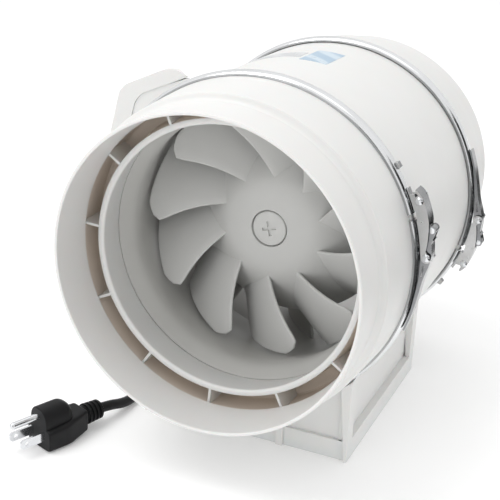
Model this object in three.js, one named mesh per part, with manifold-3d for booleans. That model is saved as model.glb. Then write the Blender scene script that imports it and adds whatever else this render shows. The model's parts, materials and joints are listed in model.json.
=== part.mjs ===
// Mixed-flow inline duct fan for 200 mm round duct, in millimetres.
// +Z is up, the duct runs along Y and air enters at -Y. The origin is the centre of the base's
// underside. Round parts are drawn as [radius, y] profiles and turned about the duct axis.

import * as THREE from "three";
import { mergeVertices } from "three/addons/utils/BufferGeometryUtils.js";
import Module from "manifold-3d";

const wasm = await Module();
wasm.setup();

// ---- driving dimensions ----

const AXIS_HEIGHT = 140;
const HALF_LENGTH = 150;
const GAP = 0.35;

const SPIGOT_R = 99;
const SPIGOT_WALL = 2.4;
const COLLAR_STEP_Y = 118.5;
const COLLAR_R = 106;
const COLLAR_WALL = 3.2;
const INLET_LIP_Y = 116;
const INLET_LIP_R = 84.2;
const INLET_LIP_WALL = 4;
const INLET_SEAM_Y = 88;
const INLET_RIBS = 12;
const RIB = 1.6;
const INLET_RIB_PHASE = 25.5;

const CASE_R = 105.3;
const CASE_WALL = 3.1;
const FLANGE_R = 107.5;
const GASKET_THICKNESS = 1.4;

const BAND_Y = 72;
const BAND_HALF_WIDTH = 5.5;
const BAND_CREST_R = 109.3;
const BAND_THICKNESS = 0.8;
const REAR_BAND_TURN = 2;

const THROAT_R = 83.6;
const IMPELLER_BLADES = 10;
const BLADE_PHASE = -17.5;
const BLADE_THICKNESS = 2.2;
const VANES = 9;
const VANE_PHASE = 18;

const SHAFT_R = 4;
const BEARING_R = 11;
const BEARING_WIDTH = 7;
const MOTOR_R = 50;

const BASE_WIDTH = 150;
const BASE_HALF_LENGTH = 77.5;
const BASE_PLATE = 5;

const BOX_HALF_LENGTH = 45;
const CORD_R = 3.5;

// ---- materials ----

const finish = (color, roughness, metalness = 0) =>
  new THREE.MeshStandardMaterial({ color, roughness, metalness });
const whitePlastic = () => finish(0xe9e9e6, 0.45);
const zincSteel = () => finish(0xb9bcc0, 0.25, 1);
const brightSteel = () => finish(0xc8cacc, 0.2, 1);
const darkSteel = () => finish(0x55585c, 0.45, 0.9);
const copper = () => finish(0xa5562c, 0.4, 0.8);
const blackRubber = () => finish(0x1b1b1c, 0.65);
const blackPlastic = () => finish(0x232325, 0.45);
const greyRubber = () => finish(0x6c6a66, 0.8);
const beigePlastic = () => finish(0xd8d2c0, 0.5);

// ---- solids ----

const ROUND = 24;

function solid(geometry) {
  const bare = new THREE.BufferGeometry();
  bare.setAttribute("position", geometry.getAttribute("position"));
  bare.setIndex(geometry.getIndex());
  const merged = mergeVertices(bare, 1e-4);
  const corners = merged.getIndex().array;
  const triangles = [];
  for (let i = 0; i < corners.length; i += 3) {
    const [a, b, c] = corners.slice(i, i + 3);
    if (a !== b && b !== c && c !== a) triangles.push(a, b, c);
  }
  const build = (list) =>
    new wasm.Manifold(
      new wasm.Mesh({
        numProp: 3,
        vertProperties: new Float32Array(merged.getAttribute("position").array),
        triVerts: new Uint32Array(list),
      }),
    );
  const body = build(triangles);
  return body.volume() > 0 ? body : build(triangles.reverse());
}

function geometryOf(body) {
  const mesh = body.getMesh();
  const geometry = new THREE.BufferGeometry();
  geometry.setAttribute("position", new THREE.BufferAttribute(mesh.vertProperties, 3));
  geometry.setIndex(new THREE.BufferAttribute(mesh.triVerts, 1));
  return geometry;
}

const join = (bodies) => bodies.reduce((all, body) => all.add(body));
const cut = (body, tools) => tools.reduce((left, tool) => left.subtract(tool), body);

// A closed [radius, y] outline, or one that starts and ends on the axis, turned about Y.
function turned(profile, segments = ROUND) {
  const points = profile.map(([r, y]) => new THREE.Vector2(r, y));
  const onAxis = points[0].x === 0 && points.at(-1).x === 0;
  if (!onAxis) points.push(points[0].clone());
  return solid(new THREE.LatheGeometry(points, segments));
}

const ring = (inner, outer, y0, y1, segments) =>
  turned(
    [
      [inner, y0],
      [outer, y0],
      [outer, y1],
      [inner, y1],
    ],
    segments,
  );

const disc = (radius, y0, y1, segments) =>
  turned(
    [
      [0, y0],
      [radius, y0],
      [radius, y1],
      [0, y1],
    ],
    segments,
  );

// A flat shape in X and Z, as thick as the stretch of Y it is given.
function plate(shape, y0, y1, curveSegments = 8) {
  const depth = y1 - y0;
  const geometry = new THREE.ExtrudeGeometry(shape, { depth, bevelEnabled: false, curveSegments });
  geometry.rotateX(Math.PI / 2).translate(0, y1, 0);
  return solid(geometry);
}

// A flat shape in Y and Z, as thick as the stretch of X it is given.
function slab(shape, x0, x1, curveSegments = 8) {
  const depth = x1 - x0;
  const geometry = new THREE.ExtrudeGeometry(shape, { depth, bevelEnabled: false, curveSegments });
  geometry.rotateX(Math.PI / 2).rotateZ(Math.PI / 2).translate(x0, 0, 0);
  return solid(geometry);
}

function block(x, y, z, at = [0, 0, 0]) {
  return solid(new THREE.BoxGeometry(x, y, z).translate(...at));
}

const radians = (degrees) => (degrees * Math.PI) / 180;
const polar = (radius, degrees) =>
  new THREE.Vector2(radius * Math.cos(radians(degrees)), radius * Math.sin(radians(degrees)));

// Manifold turns about Y from Z towards X, so a clock angle from X towards Z is negative.
const turnedTo = (body, degrees) => body.rotate([0, -degrees, 0]);

const outline = (points) => new THREE.Shape(points);

function rod(centre, radius, y0, y1, segments = 10) {
  return disc(radius, y0, y1, segments).translate([centre.x, 0, centre.y]);
}

function piece(name, body, material) {
  const mesh = new THREE.Mesh(geometryOf(body), material);
  mesh.name = name;
  return mesh;
}

// ---- housing ----

// Collar outside: rim, spigot, step, cone and the flange that the band grips.
function collarOutside(faceY) {
  return [
    [SPIGOT_R - SPIGOT_WALL, -HALF_LENGTH],
    [SPIGOT_R, -HALF_LENGTH],
    [SPIGOT_R, -COLLAR_STEP_Y - 3],
    [SPIGOT_R + 1.6, -COLLAR_STEP_Y - 0.4],
    [SPIGOT_R + 4.3, -COLLAR_STEP_Y + 1],
    [COLLAR_R, -BAND_Y - 4],
    [FLANGE_R, -BAND_Y - 2.4],
    [FLANGE_R, faceY],
  ];
}

// The casing and the collars meet on the two sides of a gasket, under the band.
const FLANGE_FACE = BAND_Y - GASKET_THICKNESS / 2 - 0.3;
const COLLAR_FACE = -BAND_Y - GASKET_THICKNESS / 2 - 0.3;

function inletCollar() {
  const floor = -INLET_SEAM_Y - 1.5;
  const lipOuter = INLET_LIP_R + INLET_LIP_WALL;
  const shell = turned([
    ...collarOutside(COLLAR_FACE),
    [COLLAR_R - COLLAR_WALL, COLLAR_FACE],
    [COLLAR_R - COLLAR_WALL - 0.4, floor],
    [92.3, floor],
    [91.6, -INLET_SEAM_Y - 0.3],
    [89.6, -INLET_SEAM_Y - 0.3],
    [INLET_LIP_R, -INLET_LIP_Y],
    [lipOuter, -INLET_LIP_Y],
    [91.4, floor - 2.5],
    [100.4, floor - 2.5],
    [99.6, -INLET_LIP_Y + 1.2],
    [SPIGOT_R - SPIGOT_WALL, -INLET_LIP_Y - 1],
  ]);
  const ribShape = outline([
    new THREE.Vector2(INLET_LIP_R + 2.2, -INLET_LIP_Y + 0.8),
    new THREE.Vector2(SPIGOT_R + 1.2, -INLET_LIP_Y + 0.8),
    new THREE.Vector2(SPIGOT_R + 2, floor - 1),
    new THREE.Vector2(90.3, floor - 1),
  ]);
  const ribGeometry = new THREE.ExtrudeGeometry(ribShape, { depth: RIB, bevelEnabled: false });
  const rib = solid(ribGeometry.translate(0, 0, -RIB / 2));
  const ribs = [];
  for (let i = 0; i < INLET_RIBS; i++) {
    ribs.push(turnedTo(rib, INLET_RIB_PHASE + (i * 360) / INLET_RIBS));
  }
  return join([shell, ...ribs]);
}

function outletCollar() {
  const inner = [
    [COLLAR_R - COLLAR_WALL, COLLAR_FACE],
    [COLLAR_R - COLLAR_WALL - 0.6, -100],
    [100, -COLLAR_STEP_Y + 2.5],
    [SPIGOT_R - SPIGOT_WALL, -COLLAR_STEP_Y - 2.5],
  ];
  return turned([...collarOutside(COLLAR_FACE), ...inner]).rotate([180, 0, 0]);
}

const WIRE_HOLE_ANGLE = 143;
const WIRE_HOLE_Y = 14;
const WIRE_HOLE_R = 5;

function mainCasing() {
  const end = [
    [FLANGE_R, FLANGE_FACE],
    [FLANGE_R, BAND_Y - 2.4],
    [CASE_R, BAND_Y - 3.8],
  ];
  const inner = CASE_R - CASE_WALL;
  const shell = turned([
    [inner, -FLANGE_FACE],
    ...end.map(([r, y]) => [r, -y]),
    ...end.toReversed(),
    [inner, FLANGE_FACE],
    [inner, -BAND_Y + 9],
    [inner - 4.2, -BAND_Y + 8],
    [inner - 4.2, -BAND_Y + 5.8],
    [inner, -BAND_Y + 5.8],
  ]);
  return cut(shell, [wireHole()]);
}

// Inlet nozzle and the shroud that opens out around the blade tips.
function impellerShroud() {
  const inside = [
    [89.3, -INLET_SEAM_Y + 0.3],
    [87.4, -84.5],
    [85.2, -80],
    [THROAT_R, -73],
    [THROAT_R + 2.6, -60],
    [89.3, -48],
    [94.4, -30],
    [97.6, -12],
    [98.8, 2],
  ];
  const wall = 1.9;
  const front = inside.slice(0, 4).map(([r, y]) => [r + wall, y]);
  const rear = inside.slice(4).map(([r, y]) => [r + wall, y]);
  const flangeY = -BAND_Y + 5.4;
  return turned([
    ...inside,
    ...rear.toReversed(),
    [THROAT_R + 2.8, flangeY],
    [CASE_R - CASE_WALL - GAP, flangeY],
    [CASE_R - CASE_WALL - GAP, flangeY - 3.4],
    [THROAT_R + 2.4, flangeY - 3.4],
    ...front.toReversed(),
  ]);
}

function gasket() {
  return ring(
    COLLAR_R - COLLAR_WALL + 0.4,
    FLANGE_R - 0.3,
    -BAND_Y - GASKET_THICKNESS / 2,
    -BAND_Y + GASKET_THICKNESS / 2,
  );
}

// ---- clamp band and its over-centre latch ----

const LEVER_PIN = polar(118.4, 14.2);
const LINK_PIN = polar(114.2, 6);
const HOOK_PIN = polar(115.6, 23.5);
const PIN_R = 1.6;
const RIVET_R = 2;
const LUG_HALF = 2.4;
const LEVER_IN = 2.8;
const LEVER_OUT = 4;
const LINK_IN = 4.4;
const LINK_OUT = 5.6;

const arcPoints = (radius, from, to, steps) =>
  Array.from({ length: steps + 1 }, (_, i) => polar(radius, from + ((to - from) * i) / steps));

// Points round a pin, from one direction to another, for the rounded end of a lever or plate.
function roundEnd(centre, radius, from, to, steps = 4) {
  return arcPoints(radius, from, to, steps).map((p) => p.add(centre));
}

function clampBand() {
  const edge = COLLAR_R + 0.4;
  const outside = [
    [edge, -BAND_HALF_WIDTH],
    [BAND_CREST_R, -2.6],
    [BAND_CREST_R, 2.6],
    [edge, BAND_HALF_WIDTH],
  ];
  const inside = [
    [edge, BAND_HALF_WIDTH - BAND_THICKNESS],
    [108.1, 2.8],
    [108.1, -2.8],
    [edge, -BAND_HALF_WIDTH + BAND_THICKNESS],
  ];
  const loop = turned([...outside, ...inside].map(([r, y]) => [r, y - BAND_Y]));
  const slit = turnedTo(block(20, 20, 4, [BAND_CREST_R, -BAND_Y, 0]), 19);
  return cut(loop, [slit]);
}

// Two cheeks and an outer web make a channel. The cheeks keep clear of what they straddle.
function channel(cheek, web, inner, outer) {
  const y = -BAND_Y;
  return join([
    plate(cheek, y - outer, y - inner),
    plate(cheek, y + inner, y + outer),
    plate(web, y - outer, y + outer),
  ]);
}

const hole = (pin, reach) => rod(pin, PIN_R + GAP, -BAND_Y - reach, -BAND_Y + reach);

function latchLever() {
  const under = [
    polar(117.4, 10.5),
    polar(116.9, 6.2),
    polar(115.2, 3),
    polar(113.2, 0),
    polar(111.9, -3.3),
    polar(111.3, -8),
    polar(111.1, -14),
  ];
  const cheek = outline([
    ...roundEnd(LEVER_PIN, 2.7, 110, 0),
    ...under,
    polar(109.9, -14),
    polar(109.9, -2),
    polar(110.2, 5),
    polar(111.4, 9.4),
    ...roundEnd(LEVER_PIN, 2.7, 200, 170, 2),
  ]);
  const web = outline([
    polar(119, 11.2),
    ...under,
    polar(111.1, -20),
    polar(109.9, -20),
    polar(109.9, -14),
    polar(110.2, -8),
    polar(110.8, -3.3),
    polar(112.1, 0),
    polar(114.1, 3),
    polar(115.8, 6.2),
    polar(116.3, 10.5),
    polar(117.6, 11.4),
  ]);
  const slot = plate(
    outline([polar(113.2, 3.2), polar(111.6, 3.2), polar(110.8, -0.8), polar(111.6, -0.8)]),
    -BAND_Y - 6,
    -BAND_Y + 6,
  );
  const body = channel(cheek, web, LEVER_IN, LEVER_OUT);
  const seats = rod(LEVER_PIN, RIVET_R + GAP, -BAND_Y - 7, -BAND_Y + 7);
  return cut(body, [seats, hole(LINK_PIN, 7), slot]);
}

function latchLink() {
  const cheek = outline([
    polar(112.3, 22.5),
    polar(111.1, 17.5),
    polar(110.9, 12.4),
    polar(110.7, 8),
    ...roundEnd(LINK_PIN, 3.3, 190, 340),
    polar(113.9, 8),
    polar(115.5, 11),
    polar(117.2, 15),
    polar(118.1, 17.5),
    polar(118.2, 21),
    polar(117.9, 24),
    ...roundEnd(HOOK_PIN, 3.2, 60, 190),
  ]);
  const web = outline([
    polar(117.9, 16.4),
    polar(118.1, 18),
    polar(118.2, 21),
    polar(117.9, 24.2),
    polar(116.9, 26),
    polar(115.6, 27),
    polar(114.9, 26.2),
    polar(116, 25.3),
    polar(116.9, 23.8),
    polar(117.1, 21),
    polar(117, 18),
    polar(116.7, 16.4),
  ]);
  const body = channel(cheek, web, LINK_IN, LINK_OUT);
  return cut(body, [hole(LINK_PIN, 7), hole(HOOK_PIN, 7)]);
}

// Strap riveted to one end of the band. The hook holds the link's pin from below.
function bandHook() {
  const foot = [...arcPoints(109.7, 20.4, 28, 3), ...arcPoints(110.9, 28, 26, 1)];
  const prong = [polar(113.2, 25.6), polar(113.2, 22.2), polar(116.5, 21.8), polar(116.5, 20.6)];
  return plate(outline([...foot, ...prong]), -BAND_Y - LUG_HALF, -BAND_Y + LUG_HALF);
}

// Lug on the band's other end, with the lever's pivot.
function bandLug() {
  const foot = arcPoints(109.7, 8.6, 17.4, 4);
  const shape = outline([
    ...foot,
    polar(111, 17.4),
    ...roundEnd(LEVER_PIN, 2.6, 120, -40),
    polar(111, 10.4),
    polar(110.9, 8.6),
  ]);
  const body = plate(shape, -BAND_Y - LUG_HALF, -BAND_Y + LUG_HALF);
  return cut(body, [rod(LEVER_PIN, PIN_R + GAP, -BAND_Y - 4, -BAND_Y + 4)]);
}

// The lever turns on a flush rivet, so that the link's cheeks can pass outside it.
function leverPin() {
  const profile = [
    [0, -LEVER_OUT - 0.15],
    [RIVET_R, -LEVER_OUT + 0.2],
    [RIVET_R, -LEVER_IN],
    [PIN_R, -LEVER_IN],
    [PIN_R, LEVER_IN],
    [RIVET_R, LEVER_IN],
    [RIVET_R, LEVER_OUT - 0.2],
    [0, LEVER_OUT + 0.15],
  ];
  return turned(profile, 8).translate([LEVER_PIN.x, -BAND_Y, LEVER_PIN.y]);
}

// A pin with a domed head at both ends, so it can't slide out of the cheeks it joins.
function latchPin(centre, reach) {
  const headR = 2.5;
  const profile = [
    [0, -reach - 1.1],
    [headR * 0.6, -reach - 0.9],
    [headR, -reach - GAP],
    [PIN_R, -reach - GAP],
    [PIN_R, reach + GAP],
    [headR, reach + GAP],
    [headR * 0.6, reach + 0.9],
    [0, reach + 1.1],
  ];
  return turned(profile, 8).translate([centre.x, -BAND_Y, centre.y]);
}

// Small stop that keeps the band from creeping round the casing.
function bandStop() {
  const foot = arcPoints(109.7, 34.2, 36.8, 1);
  const shape = outline([...foot, polar(111.4, 36.4), polar(111.4, 34.6)]);
  return plate(shape, -BAND_Y + 0.2, -BAND_Y + 3.6);
}

function bandAssembly(side) {
  const group = new THREE.Group();
  const parts = [
    ["band", clampBand()],
    ["band_lug", bandLug()],
    ["band_hook", bandHook()],
    ["band_stop", bandStop()],
    ["latch_lever", latchLever()],
    ["latch_link", latchLink()],
    ["lever_pin", leverPin()],
    ["link_pin", latchPin(LINK_PIN, LINK_OUT)],
    ["hook_pin", latchPin(HOOK_PIN, LINK_OUT)],
  ];
  for (const [name, body] of parts) {
    const bright = name.endsWith("pin");
    group.add(piece(`${side}_${name}`, body, bright ? brightSteel() : zincSteel()));
  }
  return group;
}

// ---- impeller ----

// Each pair is the value at the blade's leading and trailing edge, or at its root and tip.
const BLADE_ROOT_R = [35, 70];
const BLADE_TIP_R = [THROAT_R, 95];
const BLADE_TIP_Y = [-61, -12];
const BLADE_WRAP = [26, 38];
const BLADE_SWEEP = 25;
const BLADE_CORNER = 0.16;
const HUB = [
  [12.9, -46.6],
  [22, -46.2],
  [31, -44.5],
  [43, -37.5],
  [56, -26.3],
  [70, -11],
  [72, -6],
];

const mix = THREE.MathUtils.lerp;

function hubY(radius) {
  const next = Math.max(1, HUB.findIndex(([r]) => r >= radius));
  const [r0, y0] = HUB[next - 1];
  const [r1, y1] = HUB[next];
  return mix(y0, y1, (radius - r0) / (r1 - r0));
}

// A point of the blade's mean surface: span 0 at the hub and 1 at the tip, chord 0 at the
// leading edge and 1 at the trailing edge. The leading corner at the tip is rounded off.
function bladePoint(span, chord) {
  const corner = BLADE_CORNER * Math.pow(Math.max(0, (span - 0.78) / 0.22), 2.2);
  const c = mix(corner, 1, chord);
  const rootR = mix(...BLADE_ROOT_R, c);
  const tipR = mix(...BLADE_TIP_R, Math.pow(c, 0.85));
  const radius = mix(rootR, tipR, span);
  const y = mix(hubY(rootR), mix(...BLADE_TIP_Y, c), span);
  const sweep = BLADE_SWEEP * Math.pow(Math.max(0, span), 0.85);
  const wrap = mix(...BLADE_WRAP, Math.max(0, span)) * (1 - Math.pow(1 - c, 2.2));
  const place = polar(radius, BLADE_PHASE + sweep - wrap);
  return new THREE.Vector3(place.x, y, place.y);
}

// Closed sheet of even thickness on both sides of a surface given by a function of two numbers.
function sheet(surface, thickness, spans, chords) {
  const step = 1e-3;
  const positions = [];
  for (const side of [-0.5, 0.5]) {
    for (const s of spans) {
      for (const c of chords) {
        const here = surface(s, c);
        const alongS = surface(s + step, c).sub(here);
        const ahead = Math.min(1, c + step);
        const alongC = surface(s, ahead).sub(surface(s, ahead - step));
        const normal = alongS.cross(alongC).normalize();
        positions.push(...here.addScaledVector(normal, side * thickness));
      }
    }
  }
  const columns = chords.length;
  const back = spans.length * columns;
  const index = [];
  const quad = (a, b, c, d) => index.push(a, b, c, a, c, d);
  for (let i = 0; i + 1 < spans.length; i++) {
    for (let j = 0; j + 1 < columns; j++) {
      const a = i * columns + j;
      quad(a, a + 1, a + columns + 1, a + columns);
      quad(back + a, back + a + columns, back + a + columns + 1, back + a + 1);
    }
  }
  const rim = [];
  for (let j = 0; j < columns; j++) rim.push(j);
  for (let i = 1; i < spans.length; i++) rim.push(i * columns + columns - 1);
  for (let j = columns - 2; j >= 0; j--) rim.push((spans.length - 1) * columns + j);
  for (let i = spans.length - 2; i > 0; i--) rim.push(i * columns);
  rim.forEach((a, k) => {
    const b = rim[(k + 1) % rim.length];
    quad(b, a, back + a, back + b);
  });
  const geometry = new THREE.BufferGeometry();
  geometry.setAttribute("position", new THREE.Float32BufferAttribute(positions, 3));
  geometry.setIndex(index);
  return solid(geometry);
}

const CAP_R = 11.8;
const CAP_FACE = -46.6;
const CAP_SEAT = -43.2;
const STEM_R = 2.2;

function impeller() {
  const underside = HUB.filter((_, i) => i % 2 === 1).map(([r, y]) => [r - 2.2, y + 1.6]);
  const boss = [
    [9, -40],
    [9, -9],
    [SHAFT_R + GAP, -9],
    [SHAFT_R + GAP, CAP_SEAT],
    [CAP_R + 0.8, CAP_SEAT],
    [CAP_R + 0.8, CAP_FACE],
  ];
  const hub = turned([...HUB, ...underside.toReversed(), ...boss]);
  const spans = [-0.04, 0.3, 0.7, 0.9, 1];
  const chords = [0, 0.2, 0.55, 1];
  const blade = sheet(bladePoint, BLADE_THICKNESS, spans, chords);
  const blades = [];
  for (let i = 0; i < IMPELLER_BLADES; i++) {
    blades.push(turnedTo(blade, (i * 360) / IMPELLER_BLADES));
  }
  return join([hub, ...blades]);
}

function capScrew() {
  const stemEnd = CAP_SEAT + 17;
  const body = turned(
    [
      [0, CAP_FACE],
      [CAP_R - 1, CAP_FACE],
      [CAP_R, CAP_FACE + 0.8],
      [CAP_R, CAP_SEAT - GAP],
      [STEM_R, CAP_SEAT - GAP],
      [STEM_R, stemEnd],
      [0, stemEnd],
    ],
    16,
  );
  const slots = [0, 90].map((turn) => turnedTo(block(9, 3, 1.4, [0, CAP_FACE, 0]), turn + 14));
  return cut(body, slots);
}

// ---- guide vanes and motor ----

const SLEEVE = [
  [72, 0],
  [70, 26],
  [60, 64],
];
const BULKHEAD_Y = 8;
const BOSS_R = 16;

function guideVanes() {
  const outerR = CASE_R - CASE_WALL - GAP;
  const outer = ring(outerR - 2, outerR, 5, 66);
  const inside = SLEEVE.map(([r, y]) => [r - 2.4, y]).toReversed();
  const sleeve = turned([...SLEEVE, ...inside]);
  const bulkhead = ring(BOSS_R - 3, 69.8, BULKHEAD_Y, BULKHEAD_Y + 2.6);
  const vane = sheet(vanePoint, 2.2, [0, 1], [0, 0.3, 0.62, 1]);
  const vanes = [];
  for (let i = 0; i < VANES; i++) vanes.push(turnedTo(vane, (i * 360) / VANES));
  return join([cut(outer, [wireHole()]), sleeve, bulkhead, ...vanes]);
}

// The vanes lean against the swirl at their front edge and end straight along the duct.
function vanePoint(span, chord) {
  const y = mix(7, 61, chord);
  const inner = mix(70.6, 59.8, Math.pow(chord, 1.4));
  const radius = mix(inner, CASE_R - CASE_WALL - GAP - 1, span);
  const lean = VANE_PHASE + 22 * Math.pow(1 - chord, 1.8);
  const place = polar(radius, lean);
  return new THREE.Vector3(place.x, y, place.y);
}

const HOUSING_FRONT = BULKHEAD_Y + 2.6 + GAP;
const HOUSING_REAR = HOUSING_FRONT + 47;
const FRONT_BEARING_Y = HOUSING_FRONT + 3;
const REAR_BEARING_Y = HOUSING_REAR - 6;

// Motor shell: a cup that carries the front bearing, and the stator pressed inside its wall.
function motorHousing() {
  return turned([
    [MOTOR_R, HOUSING_FRONT],
    [MOTOR_R, HOUSING_REAR],
    [MOTOR_R - 2.2, HOUSING_REAR],
    [MOTOR_R - 2.2, HOUSING_FRONT + 2.2],
    [BEARING_R + 3, HOUSING_FRONT + 2.2],
    [BEARING_R + 3, FRONT_BEARING_Y + BEARING_WIDTH],
    [BEARING_R + GAP, FRONT_BEARING_Y + BEARING_WIDTH],
    [BEARING_R + GAP, FRONT_BEARING_Y - GAP],
    [SHAFT_R + 2, FRONT_BEARING_Y - GAP],
    [SHAFT_R + 2, HOUSING_FRONT],
  ]);
}

function motorEndCover() {
  const face = HOUSING_REAR + GAP;
  return turned([
    [MOTOR_R, face],
    [MOTOR_R, face + 2.4],
    [BEARING_R + 3, face + 5],
    [0, face + 5],
    [0, face + 2.5],
    [BEARING_R + GAP, face + 2.5],
    [BEARING_R + GAP, REAR_BEARING_Y],
    [BEARING_R + 3, REAR_BEARING_Y],
    [BEARING_R + 3, face],
  ]);
}

const ballBearing = (y) => ring(SHAFT_R + GAP, BEARING_R, y, y + BEARING_WIDTH, 16);

const CORE_FRONT = 27;
const CORE_REAR = 45;
const WINDING_FRONT = 17;
const WINDING_REAR = 54;

function statorCore() {
  return ring(28, MOTOR_R - 2.2 - GAP, CORE_FRONT, CORE_REAR, 24);
}

const winding = (y0, y1) =>
  turned(
    [
      [30, y0],
      [44, y0],
      [45.5, (y0 + y1) / 2],
      [44, y1],
      [30, y1],
      [28.8, (y0 + y1) / 2],
    ],
    24,
  );

function motorShaft() {
  const front = CAP_SEAT + 0.6;
  const rear = REAR_BEARING_Y + BEARING_WIDTH + 0.6;
  return turned(
    [
      [STEM_R + GAP, front],
      [SHAFT_R - 0.3, front],
      [SHAFT_R, front + 0.5],
      [SHAFT_R, rear],
      [0, rear],
      [0, front + 19],
      [STEM_R + GAP, front + 19],
    ],
    16,
  );
}

function rotorCore() {
  return ring(SHAFT_R + GAP, 27.2, CORE_FRONT - 1, CORE_REAR + 1, 24);
}

function tailCone() {
  const wall = 2.2;
  const outside = [
    [60, 64.4],
    [55, 73],
    [42, 84],
    [22, 91],
    [0, 92.6],
  ];
  const inside = outside.map(([r, y]) => [Math.max(0, r - wall), y - wall]);
  inside[0] = [60 - wall, 64.4];
  return turned([...outside, ...inside.toReversed()]);
}

// ---- base ----

const BASE_TOP = 66;
const BASE_RECESS = 5;
const BASE_WALL = 3;
const BASE_SILL = 14;
const POST_DEPTH = 11;
const BASE_RIB_X = 27;
const SCREW_X = 55;
const SCREW_Y = 55;

function baseBracket() {
  const half = BASE_WIDTH / 2;
  const end = BASE_HALF_LENGTH;
  const floor = block(BASE_WIDTH, 2 * (end - 2.5), BASE_PLATE, [0, 0, BASE_PLATE / 2]);
  const parts = [floor];
  const tools = [];
  for (const side of [-1, 1]) {
    const wallX = side * (half - BASE_RECESS - BASE_WALL / 2);
    const panelY = side * (end - BASE_RECESS - BASE_WALL / 2);
    parts.push(block(BASE_WALL, 2 * end - 8, BASE_TOP, [wallX, 0, BASE_TOP / 2]));
    parts.push(block(BASE_WIDTH - 12, BASE_WALL, BASE_TOP, [0, panelY, BASE_TOP / 2]));
    const sillX = side * (half - (BASE_RECESS + BASE_WALL) / 2);
    parts.push(block(BASE_RECESS + BASE_WALL, 2 * end, BASE_SILL, [sillX, 0, BASE_SILL / 2]));
    const sillY = side * (end - BASE_RECESS + 1);
    parts.push(block(BASE_WIDTH - 10, BASE_WALL, BASE_SILL, [0, sillY, BASE_SILL / 2]));
    for (const x of [-BASE_RIB_X, BASE_RIB_X]) {
      parts.push(block(5, 6, BASE_TOP, [x, side * (end - 3.4), BASE_TOP / 2]));
    }
    const post = outline([
      new THREE.Vector2(side * (half - 2), 0),
      new THREE.Vector2(side * half, 0),
      new THREE.Vector2(side * half, BASE_TOP),
      new THREE.Vector2(side * (half - 7.3), BASE_TOP),
    ]);
    parts.push(plate(post, -end, -end + POST_DEPTH), plate(post, end - POST_DEPTH, end));
    const groove = disc(BAND_CREST_R + 0.7, side * BAND_Y - 8, side * BAND_Y + 8, 60);
    tools.push(groove.translate([0, 0, AXIS_HEIGHT]));
    for (const y of [-SCREW_Y, SCREW_Y]) {
      const bore = new THREE.CylinderGeometry(2.6, 2.6, 4 * BASE_PLATE, 12);
      tools.push(solid(bore.rotateX(Math.PI / 2)).translate([side * SCREW_X, y, 0]));
    }
  }
  tools.push(disc(CASE_R + GAP, -end, end, 60).translate([0, 0, AXIS_HEIGHT]));
  return cut(join(parts), tools);
}

// ---- terminal box, drawn about the duct axis ----

// Corners in X and Z. The seam between base and cover runs inside the outer corners.
const BOX_OUTER = [
  [-63, 93],
  [-72, 97],
  [-81, 95.5],
  [-110, 82],
  [-114.5, 77],
  [-129, 16],
  [-126, 9],
  [-113.8, 4.9],
];
const BOX_SEAM = [
  [-62, 92.4],
  [-83, 84],
  [-98, 77],
  [-102.5, 71.5],
  [-117, 14],
  [-113.8, 4.6],
];
const BOX_WALL = 2.5;
const BOX_INSIDE_Y = BOX_HALF_LENGTH - BOX_WALL;
const BOX_FACE_ANGLE = 166.6;
const BOX_SCREWS = [
  [-118.1, 62],
  [-126.2, 27.6],
];
const BOX_SCREW_Y = 38.5;
const GLAND_X = -116.5;
const GLAND_Y = 10;
const GLAND_SEAT = 8.6;
const GLAND_R = 8;

const corners = (list) => list.map(([x, z]) => new THREE.Vector2(x, z));

// Turns a body drawn along Y, its outer end at +Y, to point away from the duct axis.
const outward = (body, degrees) => turnedTo(body.rotate([0, 0, -90]), degrees);

function onBoxFace(body, [x, z], y) {
  return outward(body, BOX_FACE_ANGLE).translate([x, y, z]);
}

const boxScrewPlaces = () =>
  BOX_SCREWS.flatMap((place) => [-BOX_SCREW_Y, BOX_SCREW_Y].map((y) => [place, y]));

function upright(body) {
  return body.rotate([90, 0, 0]).translate([GLAND_X, GLAND_Y, 0]);
}

// Two sloping faces take the top end of the box down to the casing towards the rear.
const BOX_SLOPES = [
  { normal: [-0.05, 0.27, 0.96], through: [-76, -BOX_HALF_LENGTH, 97.5] },
  { normal: [0.5, 0.5, 0.7], through: [-66, -BOX_HALF_LENGTH, 95.3] },
];

// What lies outside the sloping faces, or further in by a wall's thickness.
function beyondSlopes(inset = 0) {
  return BOX_SLOPES.map(({ normal, through }) => {
    const face = new THREE.Vector3(...normal).normalize();
    const turn = new THREE.Quaternion().setFromUnitVectors(new THREE.Vector3(0, 0, 1), face);
    const half = new THREE.BoxGeometry(300, 300, 100).translate(0, 0, 50 - inset);
    return solid(half.applyQuaternion(turn).translate(...through));
  });
}

const glandHole = () =>
  upright(join([disc(6.6, 0, 30, 16), disc(GLAND_R + 0.4, -20, GLAND_SEAT, 16)]));

const wireHole = () =>
  outward(disc(WIRE_HOLE_R, 90, 115, 16), WIRE_HOLE_ANGLE).translate([0, WIRE_HOLE_Y, 0]);

function boxCover() {
  const shape = outline(corners([...BOX_OUTER, ...BOX_SEAM.toReversed().slice(1)]));
  const hollow = outline(
    corners([
      [-76, 84],
      [-81, 92.3],
      [-108.6, 79.4],
      [-111.8, 75.6],
      [-125.6, 17.6],
      [-124.4, 14],
      [-108, 14],
      [-96, 68],
    ]),
  );
  const whole = cut(plate(shape, -BOX_HALF_LENGTH, BOX_HALF_LENGTH), beyondSlopes());
  const room = cut(plate(hollow, -BOX_INSIDE_Y, BOX_INSIDE_Y), beyondSlopes(BOX_WALL));
  const shell = cut(whole, [room]);
  const post = disc(3.9, -11.4, -1, 8);
  const screwHole = join([disc(1.9, -20, 1, 8), disc(3.7, -2.6, 2, 12)]);
  const posts = boxScrewPlaces().map(([place, y]) => onBoxFace(post, place, y));
  const holes = boxScrewPlaces().map(([place, y]) => onBoxFace(screwHole, place, y));
  return cut(join([shell, ...posts]).intersect(whole), [...holes, glandHole()]);
}

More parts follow.
